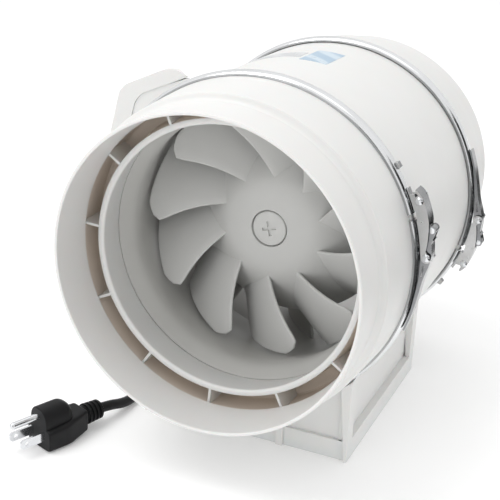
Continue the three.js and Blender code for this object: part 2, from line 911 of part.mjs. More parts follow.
function boxBase() {
  const seam = BOX_SEAM.map(([x, z]) => [x + 0.4, z - 0.15]);
  const shape = outline(corners([...seam, [-104, 3], [-90, 8], [-50, 60], [-50, 90]]));
  const body = cut(plate(shape, -BOX_HALF_LENGTH, BOX_HALF_LENGTH), beyondSlopes());
  const hollowShape = outline(
    corners([
      [-76, 60],
      [-76, 100],
      [-110, 100],
      [-140, 60],
      [-140, 14],
      [-100, 14],
    ]),
  );
  const hollow = cut(plate(hollowShape, -BOX_INSIDE_Y, BOX_INSIDE_Y), [
    disc(CASE_R + BOX_WALL, -BOX_HALF_LENGTH, BOX_HALF_LENGTH, 60),
    ...beyondSlopes(BOX_WALL),
  ]);
  const casing = disc(CASE_R + GAP, -60, 60, 60);
  const post = disc(3.9, -40, -4, 10);
  const screwHole = disc(1.9, -20.5, 1, 8);
  const posts = boxScrewPlaces().map(([place, y]) => onBoxFace(post, place, y));
  const holes = boxScrewPlaces().map(([place, y]) => onBoxFace(screwHole, place, y));
  const inside = cut(body, [casing]);
  const shell = cut(inside, [hollow]);
  const filled = join([shell, ...posts.map((post) => post.intersect(inside))]);
  return cut(filled, [...holes, glandHole(), wireHole()]);
}

function boxScrew(place, y) {
  const profile = [
    [0, -19.5],
    [1.5, -18.5],
    [1.5, -2.25],
    [3.3, -2.25],
    [3.3, -0.6],
    [2.6, 0],
    [0, 0],
  ];
  const body = cut(turned(profile, 10), [block(4, 1.2, 0.9), block(0.9, 1.2, 4)]);
  return onBoxFace(body, place, y);
}

// The pieces on the box's floor stand on its inside wall, at this direction from the duct axis.
const FITTINGS_ANGLE = 157;
const FITTINGS_FLOOR = CASE_R + BOX_WALL + GAP;

function onBoxFloor(width, height, length, y, floor = FITTINGS_FLOOR) {
  return turnedTo(block(height, length, width, [floor + 1 + height / 2, y, 0]), FITTINGS_ANGLE);
}

function terminalBlock() {
  const body = onBoxFloor(17, 11, 30, -20);
  const pocket = disc(2.4, 0, 30, 8).rotate([0, 0, -90]);
  const pockets = [-28, -20, -12].flatMap((y) =>
    [-4.4, 4.4].map((side) => pocket.translate([FITTINGS_FLOOR + 7, y, side])),
  );
  return cut(
    body,
    pockets.map((tool) => turnedTo(tool, FITTINGS_ANGLE)),
  );
}

const capacitor = () => onBoxFloor(20, 12, 26, 20.5);

// ---- gland, cord and plug ----

function cableGland() {
  const collar = turned(
    [
      [0, GLAND_SEAT + 6],
      [6.2, GLAND_SEAT + 6],
      [6.2, GLAND_SEAT - GAP],
      [GLAND_R, GLAND_SEAT - GAP],
      [GLAND_R, 2.7],
      [6.8, 2.7],
      [6.8, -8],
      [5.6, -11.5],
      [0, -12],
    ],
    16,
  );
  const hexagon = new THREE.CylinderGeometry(GLAND_R + 0.6, GLAND_R + 0.6, 9, 6);
  return upright(join([collar, solid(hexagon.translate(0, -2.3, 0))]));
}

const RELIEF_TOP = -12.35;
const RELIEF_END = -45;

function strainRelief() {
  const profile = [
    [0, RELIEF_TOP],
    [5.2, RELIEF_TOP],
    [4.1, RELIEF_END],
    [0, RELIEF_END],
  ];
  return upright(turned(profile, 12));
}

const COIL_CENTRE = new THREE.Vector2(-73, 130);
const COIL_RADII = [31.7, 38.8, 45.9];

// The lead drops from the gland and bends towards the coil behind the fan.
const LEAD = [
  [-116.5, 10, 95],
  [-116.5, 10, 80],
  [-116.5, 10, 65],
  [-116.5, 10, 51],
  [-116.5, 10, 39.6],
  [-116.5, 12.7, 25.8],
  [-116.5, 20.5, 14.1],
  [-116.5, 32.2, 6.7],
  [-116.5, 46, 4.1],
  [-116.7, 62, 3.6],
  [-117.3, 78, 3.6],
  [-118, 94, 3.6],
  [-118.6, 112, 3.6],
  [-118.9, 130, 3.6],
];

// From the coil's upper layer the cord comes down to the floor and runs forward to the plug.
const TAIL = [
  [-73, 84.1, 10.6],
  [-83.7, 82, 10],
  [-92.8, 75.9, 8.2],
  [-98.9, 66.8, 6],
  [-101, 56, 4.4],
  [-101, 42, 3.8],
  [-100, 22, 3.6],
  [-97.8, 0, 3.6],
  [-94.6, -22, 3.6],
  [-91.4, -42, 3.6],
  [-89, -62, 3.6],
  [-88, -75, 4],
  [-88.2, -86.5, 6.4],
  [-90.2, -97.2, 9.6],
  [-93.8, -106.9, 10.9],
];

const route = (list) =>
  new THREE.CatmullRomCurve3(
    list.map((point) => new THREE.Vector3(...point)),
    false,
    "centripetal",
  );

// The plain tube of a cord along part of its route, between two distances from its start.
function cordTube(list, from, to, steps) {
  const curve = route(list);
  const length = curve.getLength();
  const samples = Array.from({ length: 24 }, (_, i) =>
    curve.getPointAt((from + ((to - from) * i) / 23) / length),
  );
  const section = new THREE.Shape();
  section.absarc(0, 0, CORD_R, 0, 2 * Math.PI, false);
  const geometry = new THREE.ExtrudeGeometry(section, {
    steps,
    curveSegments: 4,
    bevelEnabled: false,
    extrudePath: new THREE.CatmullRomCurve3(samples, false, "centripetal"),
  });
  return solid(geometry);
}

const COIL_CLEAR = Math.max(...COIL_RADII) + 2 * CORD_R + GAP;

// How far along a route the cord first comes clear of the coil's outer wall.
function clearOfCoil(list) {
  const curve = route(list);
  const length = Math.round(curve.getLength());
  for (let along = 0; along <= length; along += 0.5) {
    const point = curve.getPointAt(along / length);
    if (Math.hypot(point.x - COIL_CENTRE.x, point.y - COIL_CENTRE.y) > COIL_CLEAR) return along;
  }
  return length;
}

function cordLead() {
  const whole = route(LEAD).getLength();
  return cordTube(LEAD, GAP, whole - clearOfCoil(LEAD.toReversed()), 24);
}

function cordTail() {
  const whole = route(TAIL).getLength();
  return cordTube(TAIL, clearOfCoil(TAIL), whole - GAP, 28);
}

function cordCoil() {
  const inner = Math.min(...COIL_RADII) - CORD_R;
  const outer = Math.max(...COIL_RADII) + CORD_R;
  const ringBody = ring(inner, outer, 0.1, 14.2, 32).rotate([90, 0, 0]);
  return ringBody.translate([COIL_CENTRE.x, COIL_CENTRE.y, 0]);
}

const PLUG_PLACE = [-111.7, -153.2, 10.9];
const PLUG_TURN = -21.1;
const PLUG_WIDTH = 25;
const BLADE = { reach: 18, width: 6.35, thickness: 1.5, spread: 6.35, root: 8 };
const EARTH = { above: 11.9, radius: 2.4, reach: 21.4 };

const atPlug = (body) => body.rotate([0, 0, PLUG_TURN]).translate(PLUG_PLACE);

// Drawn with its prongs towards -Y and its lower face on the floor.
function plugBody() {
  const below = -PLUG_PLACE[2] + 0.2;
  const side = outline([
    new THREE.Vector2(0, below),
    new THREE.Vector2(24, below),
    new THREE.Vector2(28, -7),
    new THREE.Vector2(28, 8),
    new THREE.Vector2(23, 14),
    new THREE.Vector2(13, 17.4),
    new THREE.Vector2(3, 18),
    new THREE.Vector2(0, 17),
  ]);
  const hump = slab(side, -PLUG_WIDTH / 2, PLUG_WIDTH / 2);
  const neck = turned(
    [
      [0, 20],
      [9.6, 20],
      [9.2, 28],
      [6.6, 36],
      [5.6, 49.6],
      [0, 49.6],
    ],
    16,
  );
  const pockets = [-1, 1].map((at) =>
    block(BLADE.thickness + 2 * GAP, BLADE.root + GAP + 2, BLADE.width + 2 * GAP, [
      at * BLADE.spread,
      (BLADE.root + GAP - 2) / 2,
      0,
    ]),
  );
  pockets.push(disc(EARTH.radius + GAP, -2, BLADE.root + GAP, 16).translate([0, 0, EARTH.above]));
  return atPlug(cut(join([hump, neck]), pockets));
}

function plugBlade(side) {
  const { reach, root, width, thickness, spread } = BLADE;
  const shape = outline([
    new THREE.Vector2(root, -width / 2),
    new THREE.Vector2(root, width / 2),
    new THREE.Vector2(-reach + 1.5, width / 2),
    new THREE.Vector2(-reach, width / 2 - 1.5),
    new THREE.Vector2(-reach, -width / 2 + 1.5),
    new THREE.Vector2(-reach + 1.5, -width / 2),
  ]);
  shape.holes.push(new THREE.Path().absarc(-reach + 4.5, 0, 1.6, 0, 2 * Math.PI, true));
  const at = side * spread;
  return atPlug(slab(shape, at - thickness / 2, at + thickness / 2, 5));
}

function earthPin() {
  const { above, radius, reach } = EARTH;
  const profile = [
    [0, -reach],
    [radius * 0.6, -reach + 0.4],
    [radius, -reach + 2.2],
    [radius, BLADE.root],
    [0, BLADE.root],
  ];
  return atPlug(turned(profile, 16).translate([0, 0, above]));
}

// ---- the whole fan ----

const duct = new THREE.Group();
duct.position.z = AXIS_HEIGHT;
duct.add(
  piece("inlet_collar", inletCollar(), whitePlastic()),
  piece("main_casing", mainCasing(), whitePlastic()),
  piece("outlet_collar", outletCollar(), whitePlastic()),
  piece("front_gasket", gasket(), greyRubber()),
  piece("rear_gasket", gasket().translate([0, 2 * BAND_Y, 0]), greyRubber()),
  piece("impeller_shroud", impellerShroud(), whitePlastic()),
  piece("impeller", impeller(), whitePlastic()),
  piece("impeller_cap_screw", capScrew(), whitePlastic()),
  piece("guide_vanes", guideVanes(), whitePlastic()),
  piece("tail_cone", tailCone(), whitePlastic()),
  piece("motor_housing", motorHousing(), darkSteel()),
  piece("motor_end_cover", motorEndCover(), darkSteel()),
  piece("motor_shaft", motorShaft(), brightSteel()),
  piece("rotor_core", rotorCore(), darkSteel()),
  piece("stator_core", statorCore(), darkSteel()),
  piece("front_winding", winding(WINDING_FRONT, CORE_FRONT - GAP), copper()),
  piece("rear_winding", winding(CORE_REAR + GAP, WINDING_REAR), copper()),
  piece("front_bearing", ballBearing(FRONT_BEARING_Y), brightSteel()),
  piece("rear_bearing", ballBearing(REAR_BEARING_Y), brightSteel()),
  piece("terminal_box", boxBase(), whitePlastic()),
  piece("terminal_box_cover", boxCover(), whitePlastic()),
  piece("terminal_block", terminalBlock(), beigePlastic()),
  piece("capacitor", capacitor(), blackPlastic()),
  piece("cable_gland", cableGland(), blackPlastic()),
  piece("cord_strain_relief", strainRelief(), blackRubber()),
);
boxScrewPlaces().forEach(([place, y], i) => {
  duct.add(piece(`box_screw_${i + 1}`, boxScrew(place, y), brightSteel()));
});

const rearBand = bandAssembly("rear");
rearBand.rotation.set(Math.PI, radians(-REAR_BAND_TURN), 0, "YXZ");
duct.add(bandAssembly("front"), rearBand);

const fan = new THREE.Group();
fan.add(
  duct,
  piece("base_bracket", baseBracket(), whitePlastic()),
  piece("cord_lead", cordLead(), blackRubber()),
  piece("cord_coil", cordCoil(), blackRubber()),
  piece("cord_tail", cordTail(), blackRubber()),
  piece("plug_body", plugBody(), blackRubber()),
  piece("plug_blade_1", plugBlade(-1), brightSteel()),
  piece("plug_blade_2", plugBlade(1), brightSteel()),
  piece("plug_earth_pin", earthPin(), brightSteel()),
);

export default fan;
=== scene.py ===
"""Inline duct fan: the visible surfaces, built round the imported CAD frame.

Shapes are drawn in millimetres about the duct's axis and placed in metres.
"""

import json
import math

import bmesh
import bpy
from mathutils import Matrix, Vector


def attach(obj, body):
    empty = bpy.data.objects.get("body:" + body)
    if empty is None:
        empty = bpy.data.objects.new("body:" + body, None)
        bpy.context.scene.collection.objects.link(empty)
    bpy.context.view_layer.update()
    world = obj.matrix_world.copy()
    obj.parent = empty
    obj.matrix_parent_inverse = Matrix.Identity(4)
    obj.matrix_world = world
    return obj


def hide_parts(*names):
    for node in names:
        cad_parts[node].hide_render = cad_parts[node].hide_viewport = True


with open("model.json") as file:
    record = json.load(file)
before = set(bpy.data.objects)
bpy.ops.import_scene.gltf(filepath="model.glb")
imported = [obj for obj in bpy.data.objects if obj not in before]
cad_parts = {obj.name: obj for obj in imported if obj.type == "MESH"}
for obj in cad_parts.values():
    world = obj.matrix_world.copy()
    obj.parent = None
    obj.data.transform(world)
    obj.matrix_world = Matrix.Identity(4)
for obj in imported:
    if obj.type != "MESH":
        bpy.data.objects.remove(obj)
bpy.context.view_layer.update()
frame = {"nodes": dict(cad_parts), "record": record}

MM = 0.001
AXIS = 140.0
BAND_Y = 72.0


def add_to_scene(name, data):
    added = bpy.data.objects.new(name, data)
    bpy.context.scene.collection.objects.link(added)
    return added


# ---- camera ----


def add_camera(place, target, roll, focal):
    """A camera at place, looking at target, rolled by an angle in degrees."""
    data = bpy.data.cameras.new("camera")
    data.sensor_width = 36
    data.lens = focal
    camera = add_to_scene("camera", data)
    back = (Vector(place) - Vector(target)).normalized()
    right = (-back).cross(Vector((0, 0, 1))).normalized()
    up = right.cross(-back)
    turn = math.radians(roll)
    across = math.cos(turn) * right + math.sin(turn) * up
    above = -math.sin(turn) * right + math.cos(turn) * up
    matrix = Matrix((across, above, back)).transposed().to_4x4()
    matrix.translation = Vector(place)
    camera.matrix_world = matrix
    bpy.context.scene.camera = camera


CAMERA_PLACE = (0.2520, -0.6663, 0.3795)
CAMERA_TARGET = (-0.0115, -0.0500, 0.1239)
CAMERA_ROLL = 2.57
CAMERA_FOCAL = 77.7

add_camera(CAMERA_PLACE, CAMERA_TARGET, CAMERA_ROLL, CAMERA_FOCAL)


# ---- materials ----


class Nodes:
    """Short names for making and joining a material's nodes."""

    def __init__(self, name):
        self.material = bpy.data.materials.new(name)
        self.material.use_nodes = True
        self.tree = self.material.node_tree
        self.shader = self.tree.nodes["Principled BSDF"]
        self.position = self.add("ShaderNodeTexCoord").outputs["Object"]

    def add(self, kind, **settings):
        node = self.tree.nodes.new(kind)
        for key, value in settings.items():
            setattr(node, key, value)
        return node

    def link(self, source, target):
        self.tree.links.new(source, target)

    def feed(self, name, source):
        self.link(source, self.shader.inputs[name])

    def noise(self, scale, detail=3.0, stretch=(1, 1, 1)):
        mapping = self.add("ShaderNodeMapping")
        mapping.inputs["Scale"].default_value = stretch
        self.link(self.position, mapping.inputs["Vector"])
        node = self.add("ShaderNodeTexNoise")
        node.inputs["Scale"].default_value = scale
        node.inputs["Detail"].default_value = detail
        self.link(mapping.outputs["Vector"], node.inputs["Vector"])
        return node.outputs["Fac"]

    def ramp(self, factor, low, high, start=0.3, end=0.7):
        node = self.add("ShaderNodeValToRGB")
        first, last = node.color_ramp.elements
        first.position, last.position = start, end
        first.color, last.color = (*low, 1), (*high, 1)
        self.link(factor, node.inputs["Fac"])
        return node.outputs["Color"]

    def spread(self, factor, low, high):
        node = self.add("ShaderNodeMapRange")
        node.inputs["From Min"].default_value = 0.3
        node.inputs["From Max"].default_value = 0.7
        node.inputs["To Min"].default_value = low
        node.inputs["To Max"].default_value = high
        self.link(factor, node.inputs["Value"])
        return node.outputs["Result"]

    def bump(self, height, strength, distance):
        node = self.add("ShaderNodeBump")
        node.inputs["Strength"].default_value = strength
        node.inputs["Distance"].default_value = distance
        self.link(height, node.inputs["Height"])
        self.feed("Normal", node.outputs["Normal"])

    def set(self, **values):
        for name, value in values.items():
            self.shader.inputs[name.replace("_", " ")].default_value = value


def plastic(name, low, high, roughness, grain, depth, soft=0.0, shine=0.5):
    """Moulded plastic or rubber: faint flow marks in its colour and a fine spark-eroded grain."""
    n = Nodes(name)
    n.feed("Base Color", n.ramp(n.noise(9, 4), low, high))
    n.feed("Roughness", n.spread(n.noise(60, 2), *roughness))
    n.bump(n.noise(grain, 2), 0.12, depth)
    n.set(Specular_IOR_Level=shine)
    if soft:
        n.set(Subsurface_Weight=soft, Subsurface_Scale=0.004)
    return n.material


def metal(name, low, high, roughness, stretch=(1, 6, 1), depth=0.00004):
    """Plated or ground metal, with drawn scratches along one direction."""
    n = Nodes(name)
    n.set(Metallic=1.0)
    n.feed("Base Color", n.ramp(n.noise(40, 4), low, high))
    n.feed("Roughness", n.spread(n.noise(220, 4, stretch), *roughness))
    n.bump(n.noise(500, 3, stretch), 0.15, depth)
    return n.material


def printed_film(name, field, streak):
    """A glossy print with pale diagonal streaks across its field."""
    n = Nodes(name)
    wave = n.add("ShaderNodeTexWave", wave_type="BANDS", bands_direction="DIAGONAL")
    wave.inputs["Scale"].default_value = 26
    wave.inputs["Distortion"].default_value = 2.5
    wave.inputs["Detail"].default_value = 1
    n.link(n.position, wave.inputs["Vector"])
    n.feed("Base Color", n.ramp(wave.outputs["Fac"], field, streak, 0.45, 0.9))
    n.feed("Roughness", n.spread(n.noise(60, 2), 0.26, 0.34))
    n.bump(n.noise(900, 2), 0.05, 0.00002)
    return n.material


def steel_laminations():
    """Stacked dark sheets seen edge on."""
    n = Nodes("dark_steel")
    n.set(Metallic=0.9)
    n.feed("Base Color", n.ramp(n.noise(50), (0.05, 0.052, 0.055), (0.09, 0.092, 0.1)))
    n.feed("Roughness", n.spread(n.noise(180, 3, (0.2, 4, 0.2)), 0.35, 0.6))
    n.bump(n.noise(90, 2, (0.1, 8, 0.1)), 0.3, 0.0004)
    return n.material


def wound_copper():
    n = Nodes("copper_winding")
    n.set(Metallic=0.9)
    n.feed("Base Color", n.ramp(n.noise(70), (0.35, 0.11, 0.04), (0.6, 0.24, 0.1)))
    n.feed("Roughness", n.spread(n.noise(300, 2), 0.3, 0.5))
    n.bump(n.noise(160, 2, (1, 6, 1)), 0.5, 0.0008)
    return n.material


MOULDED = {"roughness": (0.36, 0.44), "grain": 2200, "depth": 0.00004}
WHITE = plastic("white_shell", (0.72, 0.718, 0.705), (0.76, 0.758, 0.745), **MOULDED, soft=0.06)
# Painted shade: a warm tan that stands in for the shade and warm bounce deep in the inlet collar's
# pockets.
POCKET_SHADE = plastic(
    "shell_pocket_painted_shade", (0.74, 0.66, 0.58), (0.80, 0.72, 0.64), (0.5, 0.6), grain=2200, depth=0.00004
)
# Painted shade: a darker copy of the white plastic for the shroud, guide vanes and tail cone,
# standing in for the shade inside the duct.
INNER_SHADE = plastic(
    "inner_plastic_painted_shade", (0.55, 0.545, 0.525), (0.60, 0.595, 0.575), (0.36, 0.46), 2000, 0.00005
)
BLADES = plastic(
    "impeller_plastic", (0.64, 0.64, 0.625), (0.70, 0.70, 0.685), (0.38, 0.5), 1800, 0.00005
)
CAP = plastic("cap_plastic", (0.68, 0.68, 0.665), (0.74, 0.74, 0.725), (0.4, 0.5), 1800, 0.00005)
ZINC = metal("zinc", (0.76, 0.77, 0.78), (0.85, 0.86, 0.87), (0.12, 0.22))
LATCH = metal("latch_zinc", (0.50, 0.50, 0.50), (0.60, 0.60, 0.60), (0.16, 0.28))
LEVER = metal("lever_zinc", (0.24, 0.245, 0.255), (0.34, 0.345, 0.355), (0.14, 0.26))
# Painted dark reflection: dark metal on the latches' edges and webs, standing in for the dark
# surroundings they mirror.
LATCH_DARK_REFLECTION = metal("latch_painted_dark_reflection", (0.29, 0.295, 0.30), (0.40, 0.405, 0.41), (0.14, 0.24))
# Painted shadow: darker zinc on the bands' edges, standing in for the shadow line between band and
# collar.
BAND_EDGE_SHADOW = metal("zinc_edge_painted_shadow", (0.36, 0.365, 0.37), (0.46, 0.465, 0.47), (0.3, 0.45))
PIN = metal("pin_steel", (0.68, 0.69, 0.71), (0.8, 0.81, 0.83), (0.12, 0.22), (1, 1, 1), 0.00003)
GROUND = metal(
    "bearing_steel", (0.5, 0.51, 0.52), (0.62, 0.63, 0.64), (0.2, 0.34), (1, 12, 1), 0.00003
)
DARK_STEEL = steel_laminations()
COPPER = wound_copper()
SEAL = plastic("grey_rubber", (0.16, 0.155, 0.15), (0.22, 0.215, 0.205), (0.6, 0.75), 900, 0.0001)
JACKET = plastic(
    "black_rubber", (0.006, 0.006, 0.0065), (0.012, 0.012, 0.013), (0.38, 0.5), 1500, 0.00006,
    shine=0.18,
)
BLACK = plastic(
    "black_plastic", (0.015, 0.015, 0.016), (0.03, 0.03, 0.031), (0.3, 0.42), 1500, 0.00005
)
CREAM = plastic(
    "terminal_plastic", (0.66, 0.62, 0.5), (0.74, 0.7, 0.58), (0.45, 0.55), 1500, 0.00005
)
LABEL_BLUE = printed_film("label_blue", (0.36, 0.49, 0.61), (0.55, 0.65, 0.73))
LABEL_GREY = printed_film("label_grey", (0.55, 0.56, 0.57), (0.62, 0.63, 0.64))

SLOT_MATERIALS = {
    "white_shell": WHITE,
    "impeller_plastic": BLADES,
    "zinc": ZINC,
    "pin_steel": PIN,
    "bearing_steel": GROUND,
    "dark_steel": DARK_STEEL,
    "copper_winding": COPPER,
    "grey_rubber": SEAL,
    "black_rubber": JACKET,
    "black_plastic": BLACK,
    "terminal_plastic": CREAM,
}


# ---- making pieces ----


def polar(radius, degrees):
    """A point in X and Z about the duct axis, at an angle from X towards Z."""
    angle = math.radians(degrees)
    return Vector((radius * math.cos(angle), radius * math.sin(angle)))


def at_duct(x, y, z):
    return Vector((x, y, z + AXIS)) * MM


def shade(mesh, sharp):
    """Smooth shading, apart from edges sharper than an angle in degrees."""
    mesh.shade_smooth()
    mesh.set_sharp_from_angle(angle=math.radians(sharp))


def add_piece(name, mesh, body, slot, nodes=(), materials=None, sharp=38):
    """Adds a mesh as a visible piece on a body, with its slot's material or its own."""
    piece = add_to_scene(name, mesh)
    for material in materials or [SLOT_MATERIALS[slot]]:
        mesh.materials.append(material)
    shade(mesh, sharp)
    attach(piece, body)
    if nodes:
        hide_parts(*nodes)
    return piece


def paint(mesh, rule):
    """Gives the faces that a rule picks the second of the mesh's two materials."""
    for face in mesh.polygons:
        face.material_index = int(rule(face))


def add_weighted_normals(piece):
    modifier = piece.modifiers.new("even shading", "WEIGHTED_NORMAL")
    modifier.keep_sharp = True


def add_bevel(piece, width):
    modifier = piece.modifiers.new("soft edges", "BEVEL")
    modifier.width = width * MM
    modifier.segments = 2
    modifier.limit_method = "ANGLE"
    modifier.angle_limit = math.radians(40)
    modifier.harden_normals = False
    add_weighted_normals(piece)


def soften(bm, edges, width, segments, **options):
    """Rounds edges of a mesh that is being made, by a width in millimetres."""
    options |= {"offset": width * MM, "segments": segments, "profile": 0.5, "affect": "EDGES"}
    bmesh.ops.bevel(bm, geom=edges, **options)


def finish_mesh(name, bm):
    bmesh.ops.remove_doubles(bm, verts=bm.verts, dist=1e-7)
    bmesh.ops.recalc_face_normals(bm, faces=bm.faces)
    mesh = bpy.data.meshes.new(name)
    bm.to_mesh(mesh)
    bm.free()
    return mesh


def rounded(points, radius, steps=4, closed=True):
    """Rounds each corner of an outline. radius is one number or a list of one per corner."""
    count = len(points)
    radii = radius if hasattr(radius, "__len__") else [radius] * count
    result = []
    for i, (x, y) in enumerate(points):
        here = Vector((x, y))
        if not closed and i in (0, count - 1):
            result.append(here)
            continue
        before = Vector(points[i - 1]) - here
        after = Vector(points[(i + 1) % count]) - here
        reach = min(radii[i], 0.45 * before.length, 0.45 * after.length)
        if reach < 0.02:
            result.append(here)
            continue
        start = here + before.normalized() * reach
        end = here + after.normalized() * reach
        for k in range(steps + 1):
            t = k / steps
            result.append((1 - t) ** 2 * start + 2 * t * (1 - t) * here + t**2 * end)
    return result


def smooth_line(points, parts=6):
    """More points along the smooth curve through a few."""
    result = []
    last = len(points) - 1
    for i in range(last):
        p0, p1 = Vector(points[max(0, i - 1)]), Vector(points[i])
        p2, p3 = Vector(points[i + 1]), Vector(points[min(last, i + 2)])
        for k in range(parts):
            t = k / parts
            a = 2 * p1 + (p2 - p0) * t
            b = (2 * p0 - 5 * p1 + 4 * p2 - p3) * t**2
            c = (3 * p1 - p0 - 3 * p2 + p3) * t**3
            result.append((a + b + c) / 2)
    result.append(Vector(points[-1]))
    return result


def lathe_into(
    bm, profile, segments=192, start=0.0, end=360.0, centre=(0, 0, AXIS), axis=(0, 1, 0)
):
    """Turns a closed [radius, height] outline about an axis, all the way round or part of it."""
    axis = Vector(axis).normalized()
    across = Vector((1, 0, 0)) if abs(axis.y) > 0.9 else Vector((0, 1, 0)).cross(axis).normalized()
    up = across.cross(axis)
    whole = end - start >= 360
    rings = segments if whole else segments + 1
    loops = []
    for i in range(rings):
        angle = math.radians(start + (end - start) * i / segments)
        out = across * math.cos(angle) + up * math.sin(angle)
        loop = [(Vector(centre) + out * r + axis * h) * MM for r, h in profile]
        loops.append([bm.verts.new(point) for point in loop])
    count = len(profile)
    for i in range(segments):
        a, b = loops[i], loops[(i + 1) % rings]
        for j in range(count):
            k = (j + 1) % count
            if profile[j][0] > 1e-6 or profile[k][0] > 1e-6:
                bm.faces.new((a[j], a[k], b[k], b[j]))
    if not whole:
        bm.faces.new(loops[0])
        bm.faces.new(list(reversed(loops[-1])))


def lathe(name, profile, **options):
    bm = bmesh.new()
    lathe_into(bm, profile, **options)
    return finish_mesh(name, bm)


def prism_into(bm, outline, y0, y1):
    """A flat outline in X and Z about the duct axis, as thick as a stretch of Y."""
    front = [bm.verts.new(at_duct(x, y0, z)) for x, z in outline]
    back = [bm.verts.new(at_duct(x, y1, z)) for x, z in outline]
    bm.faces.new(front)
    bm.faces.new(list(reversed(back)))
    for i in range(len(outline)):
        k = (i + 1) % len(outline)
        bm.faces.new((front[i], back[i], back[k], front[k]))


def block_mesh(name, place, size):
    """A block of a size in millimetres about its place, a matrix in metres."""
    bm = bmesh.new()
    matrix = place @ Matrix.Diagonal((*(Vector(size) * MM), 1))
    bmesh.ops.create_cube(bm, size=1, matrix=matrix)
    return finish_mesh(name, bm)


def loft_into(bm, sections, close=True):
    """Joins loops of equally many points into a skin, with a flat face at each end."""
    loops = [[bm.verts.new(point) for point in section] for section in sections]
    count = len(loops[0])
    for a, b in zip(loops, loops[1:]):
        for j in range(count):
            k = (j + 1) % count
            bm.faces.new((a[j], a[k], b[k], b[j]))
    if close:
        bm.faces.new(list(reversed(loops[0])))
        bm.faces.new(loops[-1])


def boolean(piece, tool_mesh, operation, overlapping=False):
    """Cuts or joins a piece with another mesh, at once. The piece may be overlapping shells."""
    tool = add_to_scene("tool", tool_mesh)
    modifier = piece.modifiers.new("boolean", "BOOLEAN")
    modifier.operation = operation
    modifier.solver = "EXACT"
    modifier.use_self = overlapping
    modifier.object = tool
    bpy.context.view_layer.update()
    evaluated = piece.evaluated_get(bpy.context.evaluated_depsgraph_get())
    shape = bpy.data.meshes.new_from_object(evaluated)
    piece.modifiers.remove(modifier)
    old = piece.data
    piece.data = shape
    shape.name = old.name
    bpy.data.meshes.remove(old)
    bpy.data.objects.remove(tool)


# ---- mains lead ----

CORD_DIAMETER = 7.0
CORD_ON_FLOOR = 3.6
COIL_CENTRE = Vector((-73, 130))
COIL_STEP = 7.1
COIL_INNER = 31.7
COIL_SWEEP = 5 * 360 + 270
# Sweeps, in degrees, over which the cord steps in, climbs to the upper layer and steps out.
COIL_INWARDS = ((240, 360), (600, 720))
COIL_CLIMB = (960, 1020)
COIL_OUTWARDS = ((1200, 1320), (1560, 1680))
LEAD = [
    (-116.5, 10, 95),
    (-116.5, 10, 80),
    (-116.5, 10, 65),
    (-116.5, 10, 51),
    (-116.5, 10, 39.6),
    (-116.5, 12.7, 25.8),
    (-116.5, 20.5, 14.1),
    (-116.5, 32.2, 6.7),
    (-116.5, 46, 4.1),
    (-116.7, 62, 3.6),
    (-117.3, 78, 3.6),
    (-118, 94, 3.6),
    (-118.6, 112, 3.6),
]
TAIL = [
    (-83.7, 82, 10),
    (-92.8, 75.9, 8.2),
    (-98.9, 66.8, 6),
    (-101, 56, 4.4),
    (-101, 42, 3.8),
    (-100, 22, 3.6),
    (-97.8, 0, 3.6),
    (-94.6, -22, 3.6),
    (-91.4, -42, 3.6),
    (-89, -62, 3.6),
    (-88, -75, 4),
    (-88.2, -86.5, 6.4),
    (-90.2, -97.2, 9.6),
    (-93.8, -106.9, 10.9),
]


def eased(value, start, end):
    t = min(1.0, max(0.0, (value - start) / (end - start)))
    return t * t * (3 - 2 * t)


def coil_point(sweep):
    """The lower layer winds inwards, the cord climbs, and the upper layer winds out again."""
    inwards = sum(eased(sweep, *step) for step in COIL_INWARDS)
    outwards = sum(eased(sweep, *step) for step in COIL_OUTWARDS)
    radius = COIL_INNER + COIL_STEP * (2 - inwards + outwards)
    height = CORD_ON_FLOOR + COIL_STEP * eased(sweep, *COIL_CLIMB)
    angle = math.radians(180 - sweep)
    x = COIL_CENTRE.x + radius * math.cos(angle)
    y = COIL_CENTRE.y + radius * math.sin(angle)
    return (x, y, height)


def cord_route():
    coil = [coil_point(sweep) for sweep in range(0, COIL_SWEEP + 1, 15)]
    return smooth_line(LEAD + coil + TAIL, 4)


def make_cord():
    points = [point * MM for point in cord_route()]
    curve = bpy.data.curves.new("mains_cord", "CURVE")
    curve.dimensions = "3D"
    curve.bevel_depth = CORD_DIAMETER / 2 * MM
    curve.bevel_resolution = 6
    curve.use_fill_caps = True
    spline = curve.splines.new("POLY")
    spline.points.add(len(points) - 1)
    for target, point in zip(spline.points, points):
        target.co = (*point, 1)
    spline.use_smooth = True
    cord = add_to_scene("mains_cord", curve)
    curve.materials.append(JACKET)
    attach(cord, "housing")
    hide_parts("cord_lead", "cord_coil", "cord_tail")
    length = sum((b - a).length for a, b in zip(points, points[1:]))
    return cord, points[0], length


TIE_WALL = 0.9
TIE_HALF = 5


def make_coil_tie():
    """A strap round the coil's turns. Its lower side is thin, between the turns and the floor."""
    middle = COIL_INNER + COIL_STEP
    half = 1.5 * COIL_STEP + 0.1
    top = 2 * COIL_STEP + 0.2

    def loop(reach, low, high, corner):
        left, right = middle - reach, middle + reach
        return rounded([(left, low), (right, low), (right, high), (left, high)], corner)

    outside = loop(half + TIE_WALL, 0.02, top + TIE_WALL, 3.6)
    inside = loop(half, 0.09, top, 3)
    bm = bmesh.new()
    sections = []
    for outline, end in ((outside, -1), (outside, 1), (inside, 1), (inside, -1)):
        centre = Vector((COIL_CENTRE.x, COIL_CENTRE.y + end * TIE_HALF, 0))
        sections.append([(centre + Vector((x, 0, z))) * MM for x, z in outline])
    loft_into(bm, [*sections, sections[0]], close=False)
    tie = add_piece("coil_tie", finish_mesh("coil_tie", bm), "housing", "black_plastic")
    add_weighted_normals(tie)
    return tie


cord, cord_exit, cord_length = make_cord()
coil_tie = make_coil_tie()


# ---- housing ----

